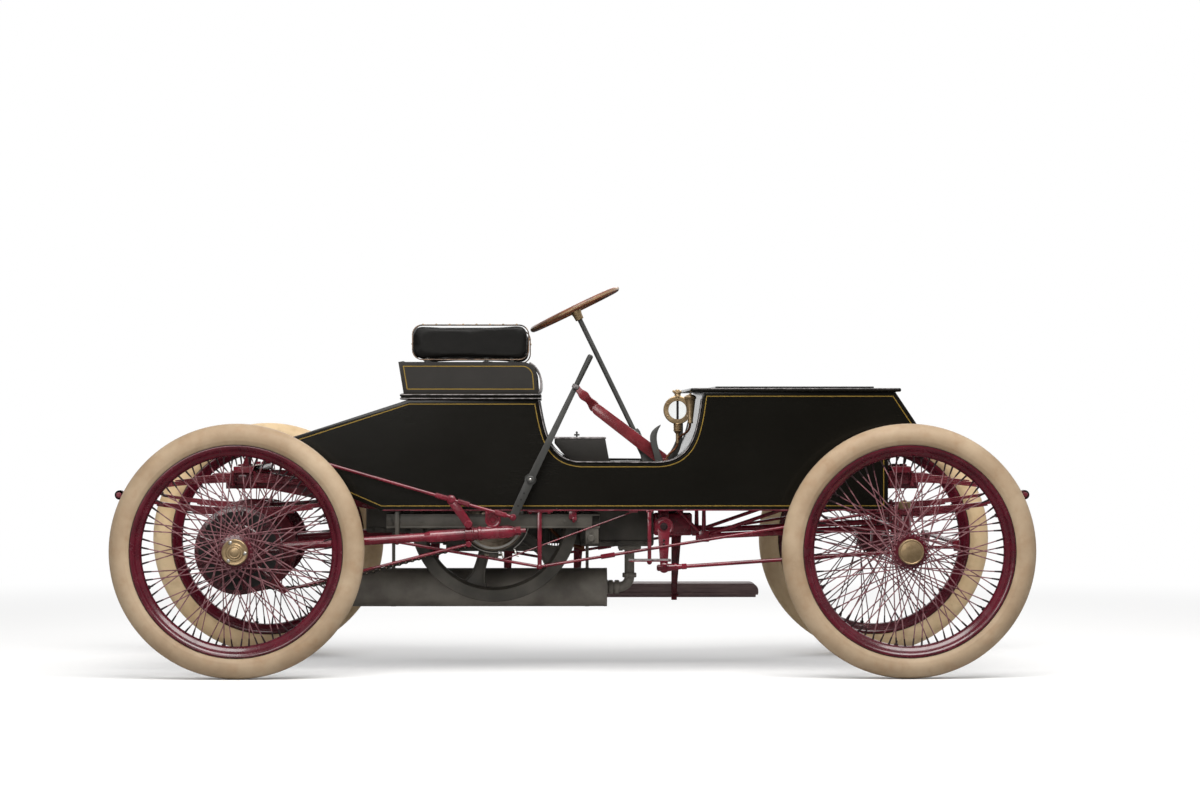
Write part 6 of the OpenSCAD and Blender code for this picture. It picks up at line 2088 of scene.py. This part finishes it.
def make_fittings():
    """The tool chest on the floor and the brass oiler with its sight glass."""
    bm = bmesh.new()
    lo, hi = node_box("tool_box")
    rear = lo.x - 76
    chest = [(lo.x + 16, lo.z), (hi.x, lo.z), (hi.x - 18, hi.z - 7), (rear, hi.z - 7), (rear, lo.z + 82),
             (rear + 28, lo.z + 47), (rear + 48, lo.z + 29), (rear + 72, lo.z + 14)]
    slab(bm, chest, lo.y, hi.y, 2)
    block(bm, (rear - 1, lo.y - 1, hi.z - 7), (hi.x - 15, hi.y + 1, hi.z), 2.5, 1)
    for y in (lo.y + 50, hi.y - 50):
        bar(bm, vec(16, y, hi.z), vec(16, y, hi.z + 16), 3, None, 10, 2)
        bar(bm, vec(6, y, hi.z + 8), vec(26, y, hi.z + 8), 3, 3, 10, 2)
        ball(bm, vec(16, y, hi.z + 17), 4, 2)
    block(bm, (hi.x + 2, lo.y + 20, lo.z), (hi.x + 118, hi.y - 20, lo.z + 15), 3, 0)
    piece("tool_chest", bm, "root", ("satin_black", "edge_wear_and_highlight", "lever_grey"),
          ("tool_box",))
    bm = bmesh.new()
    at = vec(393, -300, SILL_Z + 194)
    for shift in (-11, 11):
        collar(bm, at + vec(0, shift, 0), ACROSS, 3, 34.5, 53, 3, 2, 56)
    collar(bm, at, ACROSS, 9, 37, 49, steps=56)
    turned(bm, [(-3, 36.8), (3, 36.8), (3, 0), (-3, 0)], at, ACROSS, 48, 1)
    bar(bm, at + vec(0, 0, -36), at + vec(0, 0, 36), 4.5, None, 14, 2)
    for k in range(6):
        screw(bm, at + polar(TURN * (k + 0.5) / 6, 43, -13.5), (0, -1, 0), 3.2)
    turned(bm, [(46, 0), (46, 15), (50, 17), (54, 12), (60, 11), (62, 15), (70, 15), (72, 9), (76, 8),
                (78, 0)], at, UP, 28)
    bar(bm, at + vec(-15, 0, 70), at + vec(15, 0, 70), 3.4, 3.4, 10)
    ball(bm, at + vec(-15, 0, 70), 5)
    knurl = [(-46, 0), (-46, 13)]
    for k in range(5):
        knurl += [(-52 - 6 * k, 16), (-54 - 6 * k, 16), (-56 - 6 * k, 13.5)]
    knurl += [(-86, 10), (-88, 7), (-124, 6.5), (-126, 0)]
    turned(bm, [(-a, r) for a, r in knurl], at, (0, 0, -1), 28)
    tube(bm, bent((393, -300, at.z - 122), (392, -300, at.z - 160),
                  (350, -300, at.z - 150), (347, -300, FLOOR_Z + 1)), 4.6, 10, 3)
    cup = vec(439, -345, at.z - 50)
    turned(bm, [(0, 0), (0, 9), (4, 11), (8, 9.5), (90, 19.5), (92, 22), (98, 23), (101, 21), (106, 14),
                (109, 5), (112, 4), (113, 0)], cup, UP, 32)
    tube(bm, bent((439, -345, at.z - 46), (438, -342, at.z - 100),
                  (400, -305, at.z - 80), (393, -301, at.z - 120), 14), 4.4, 10, 3)
    piece("oil_sight", bm, "root", ("brass", "sight_glass", "dark_inside", "copper"), ("oiler",), 30)


def make_steps():
    """The step on the right and the running board on the left."""
    bm = bmesh.new()
    x, z = 283, BOTTOM_Z - 179
    block(bm, (x - 7, -BODY_Y - 12, z - 12), (x + 7, -BODY_Y - 3, BOTTOM_Z), 2)
    block(bm, (x - 12, -BODY_Y - 12, BOTTOM_Z - 8), (x + 12, -INNER_Y, BOTTOM_Z - 0.5), 2)
    block(bm, (x - 77, -BODY_Y - 91, z - 8), (x + 77, -BODY_Y - 1, z - 3), 2)
    block(bm, (x - 78, -BODY_Y - 92, z - 3.5), (x + 78, -BODY_Y, z), 1.2, 1)
    ball(bm, vec(x, -BODY_Y - 8, z - 12), 10)
    for dz in (40, 150):
        nut(bm, vec(x, -BODY_Y - 12, z + dz), (0, -1, 0), 7, 6)
    piece("step_iron", bm, "root", ("maroon_enamel", "edge_wear_and_highlight"), ("mounting_step",), 30)
    bm = bmesh.new()
    y0, y1, top = BODY_Y + 12, BODY_Y + 195, HUB_Z - 172
    corners = [(-599, top - 1), (-599, top - 40), (741, top - 40)] + arc(711, top - 31, 30, 0, 90, 8)
    slab(bm, corners, y0, y1, 2.5, 1)
    block(bm, (-598, y1 - 20, top - 64), (740, y1, top - 41), 3, 1)
    block(bm, (-598, y0, top - 46), (740, y0 + 7, top - 34), 2, 1)
    for x in (-560, -270, 6, 393):
        block(bm, (x + 2, BODY_Y + 1, top - 66), (x + 24, BODY_Y + 9, BOTTOM_Z), 2)
        block(bm, (x, INNER_Y, BOTTOM_Z - 8), (x + 30, BODY_Y + 10, BOTTOM_Z - 0.5), 2)
        block(bm, (x, BODY_Y + 1, top - 50), (x + 30, y1 - 21, top - 41), 2)
        bar(bm, vec(x + 15, y1 - 30, top - 45), vec(x + 15, BODY_Y + 8, BOTTOM_Z - 90), 6, None, 12)
        slab(bm, [(x + 2, top - 52), (x + 22, top - 52), (x + 52, BOTTOM_Z - 1), (x + 32, BOTTOM_Z - 1)],
             BODY_Y + 9, BODY_Y + 15, 1.5)
        for y in (y0 + 40, y1 - 50):
            nut(bm, vec(x + 15, y, top - 50), (0, 0, -1), 9, 6)
        nut(bm, vec(x + 15, BODY_Y + 9, BOTTOM_Z - 60), ACROSS, 9, 6)
    piece("running_board_plank", bm, "root", ("maroon_enamel", "plank_paint"),
          ("running_board",), 30)


# ---- operators ----
class CAR_OT_wheels(bpy.types.Operator):
    """Build the four wire wheels and their tyres"""
    bl_idname = "racing_car.wheels"
    bl_label = "Wheels and Tyres"

    def execute(self, context):
        make_wheels(context.scene.car_wheels)
        return {"FINISHED"}


class CAR_OT_coach(bpy.types.Operator):
    """Build the body sides, decks, nose, floor and lid"""
    bl_idname = "racing_car.coachwork"
    bl_label = "Coachwork"

    def execute(self, context):
        settings = context.scene.car_coach
        make_sides(settings)
        make_panels(settings)
        make_lid(settings)
        return {"FINISHED"}


class CAR_OT_seat(bpy.types.Operator):
    """Build the seat's boards, cushion and padded rail"""
    bl_idname = "racing_car.seat"
    bl_label = "Seat"

    def execute(self, context):
        settings = context.scene.car_seat
        make_seat_box()
        make_cushion()
        make_rail_pad(settings)
        return {"FINISHED"}


class CAR_OT_chassis(bpy.types.Operator):
    """Build the springs, frame, axles and rods"""
    bl_idname = "racing_car.chassis"
    bl_label = "Springs, Frame and Axles"

    def execute(self, context):
        make_springs(context.scene.car_gear)
        make_frame()
        make_axles()
        make_rods()
        return {"FINISHED"}


class CAR_OT_engine(bpy.types.Operator):
    """Build the engine, flywheel, drum, chain and exhaust"""
    bl_idname = "racing_car.engine"
    bl_label = "Engine and Drive"

    def execute(self, context):
        make_engine()
        make_flywheel()
        make_drive(context.scene.car_gear)
        make_exhaust()
        return {"FINISHED"}


class CAR_OT_controls(bpy.types.Operator):
    """Build the steering, levers, brass fittings and steps"""
    bl_idname = "racing_car.controls"
    bl_label = "Steering and Controls"

    def execute(self, context):
        make_steering(context.scene.car_gear)
        make_levers()
        make_fittings()
        make_steps()
        return {"FINISHED"}


class CAR_OT_stage(bpy.types.Operator):
    """Set the camera, the soft lamps, the white ground and the surroundings"""
    bl_idname = "racing_car.stage"
    bl_label = "Studio"

    def execute(self, context):
        make_stage(context.scene.car_stage)
        return {"FINISHED"}


class CAR_PT_panel(bpy.types.Panel):
    """Lists the builders in order"""
    bl_idname = "CAR_PT_panel"
    bl_label = "Racing Car"
    bl_space_type = "VIEW_3D"
    bl_region_type = "UI"
    bl_category = "Racing Car"

    def draw(self, context):
        for kind in OPERATORS:
            self.layout.operator(kind.bl_idname)


OPERATORS = (
    CAR_OT_wheels, CAR_OT_coach, CAR_OT_seat, CAR_OT_chassis, CAR_OT_engine, CAR_OT_controls,
    CAR_OT_stage)
GROUPS = {
    "car_wheels": CAR_PG_wheels, "car_coach": CAR_PG_coach, "car_seat": CAR_PG_seat,
    "car_gear": CAR_PG_gear, "car_stage": CAR_PG_stage}


def register():
    for kind in (*GROUPS.values(), *OPERATORS, CAR_PT_panel):
        bpy.utils.register_class(kind)
    for name, kind in GROUPS.items():
        setattr(bpy.types.Scene, name, PointerProperty(type=kind))


def unregister():
    for name in GROUPS:
        delattr(bpy.types.Scene, name)
    for kind in reversed((*GROUPS.values(), *OPERATORS, CAR_PT_panel)):
        bpy.utils.unregister_class(kind)


def corners(box):
    return [list(corner) for corner in box]


def main():
    register()
    before = corners(CAD_BOX)
    for step in ("wheels", "coachwork", "seat", "chassis", "engine", "controls", "stage"):
        getattr(bpy.ops.racing_car, step)()
    {"cad": before, "looks": corners(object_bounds())}


if __name__ == "__main__":
    main()
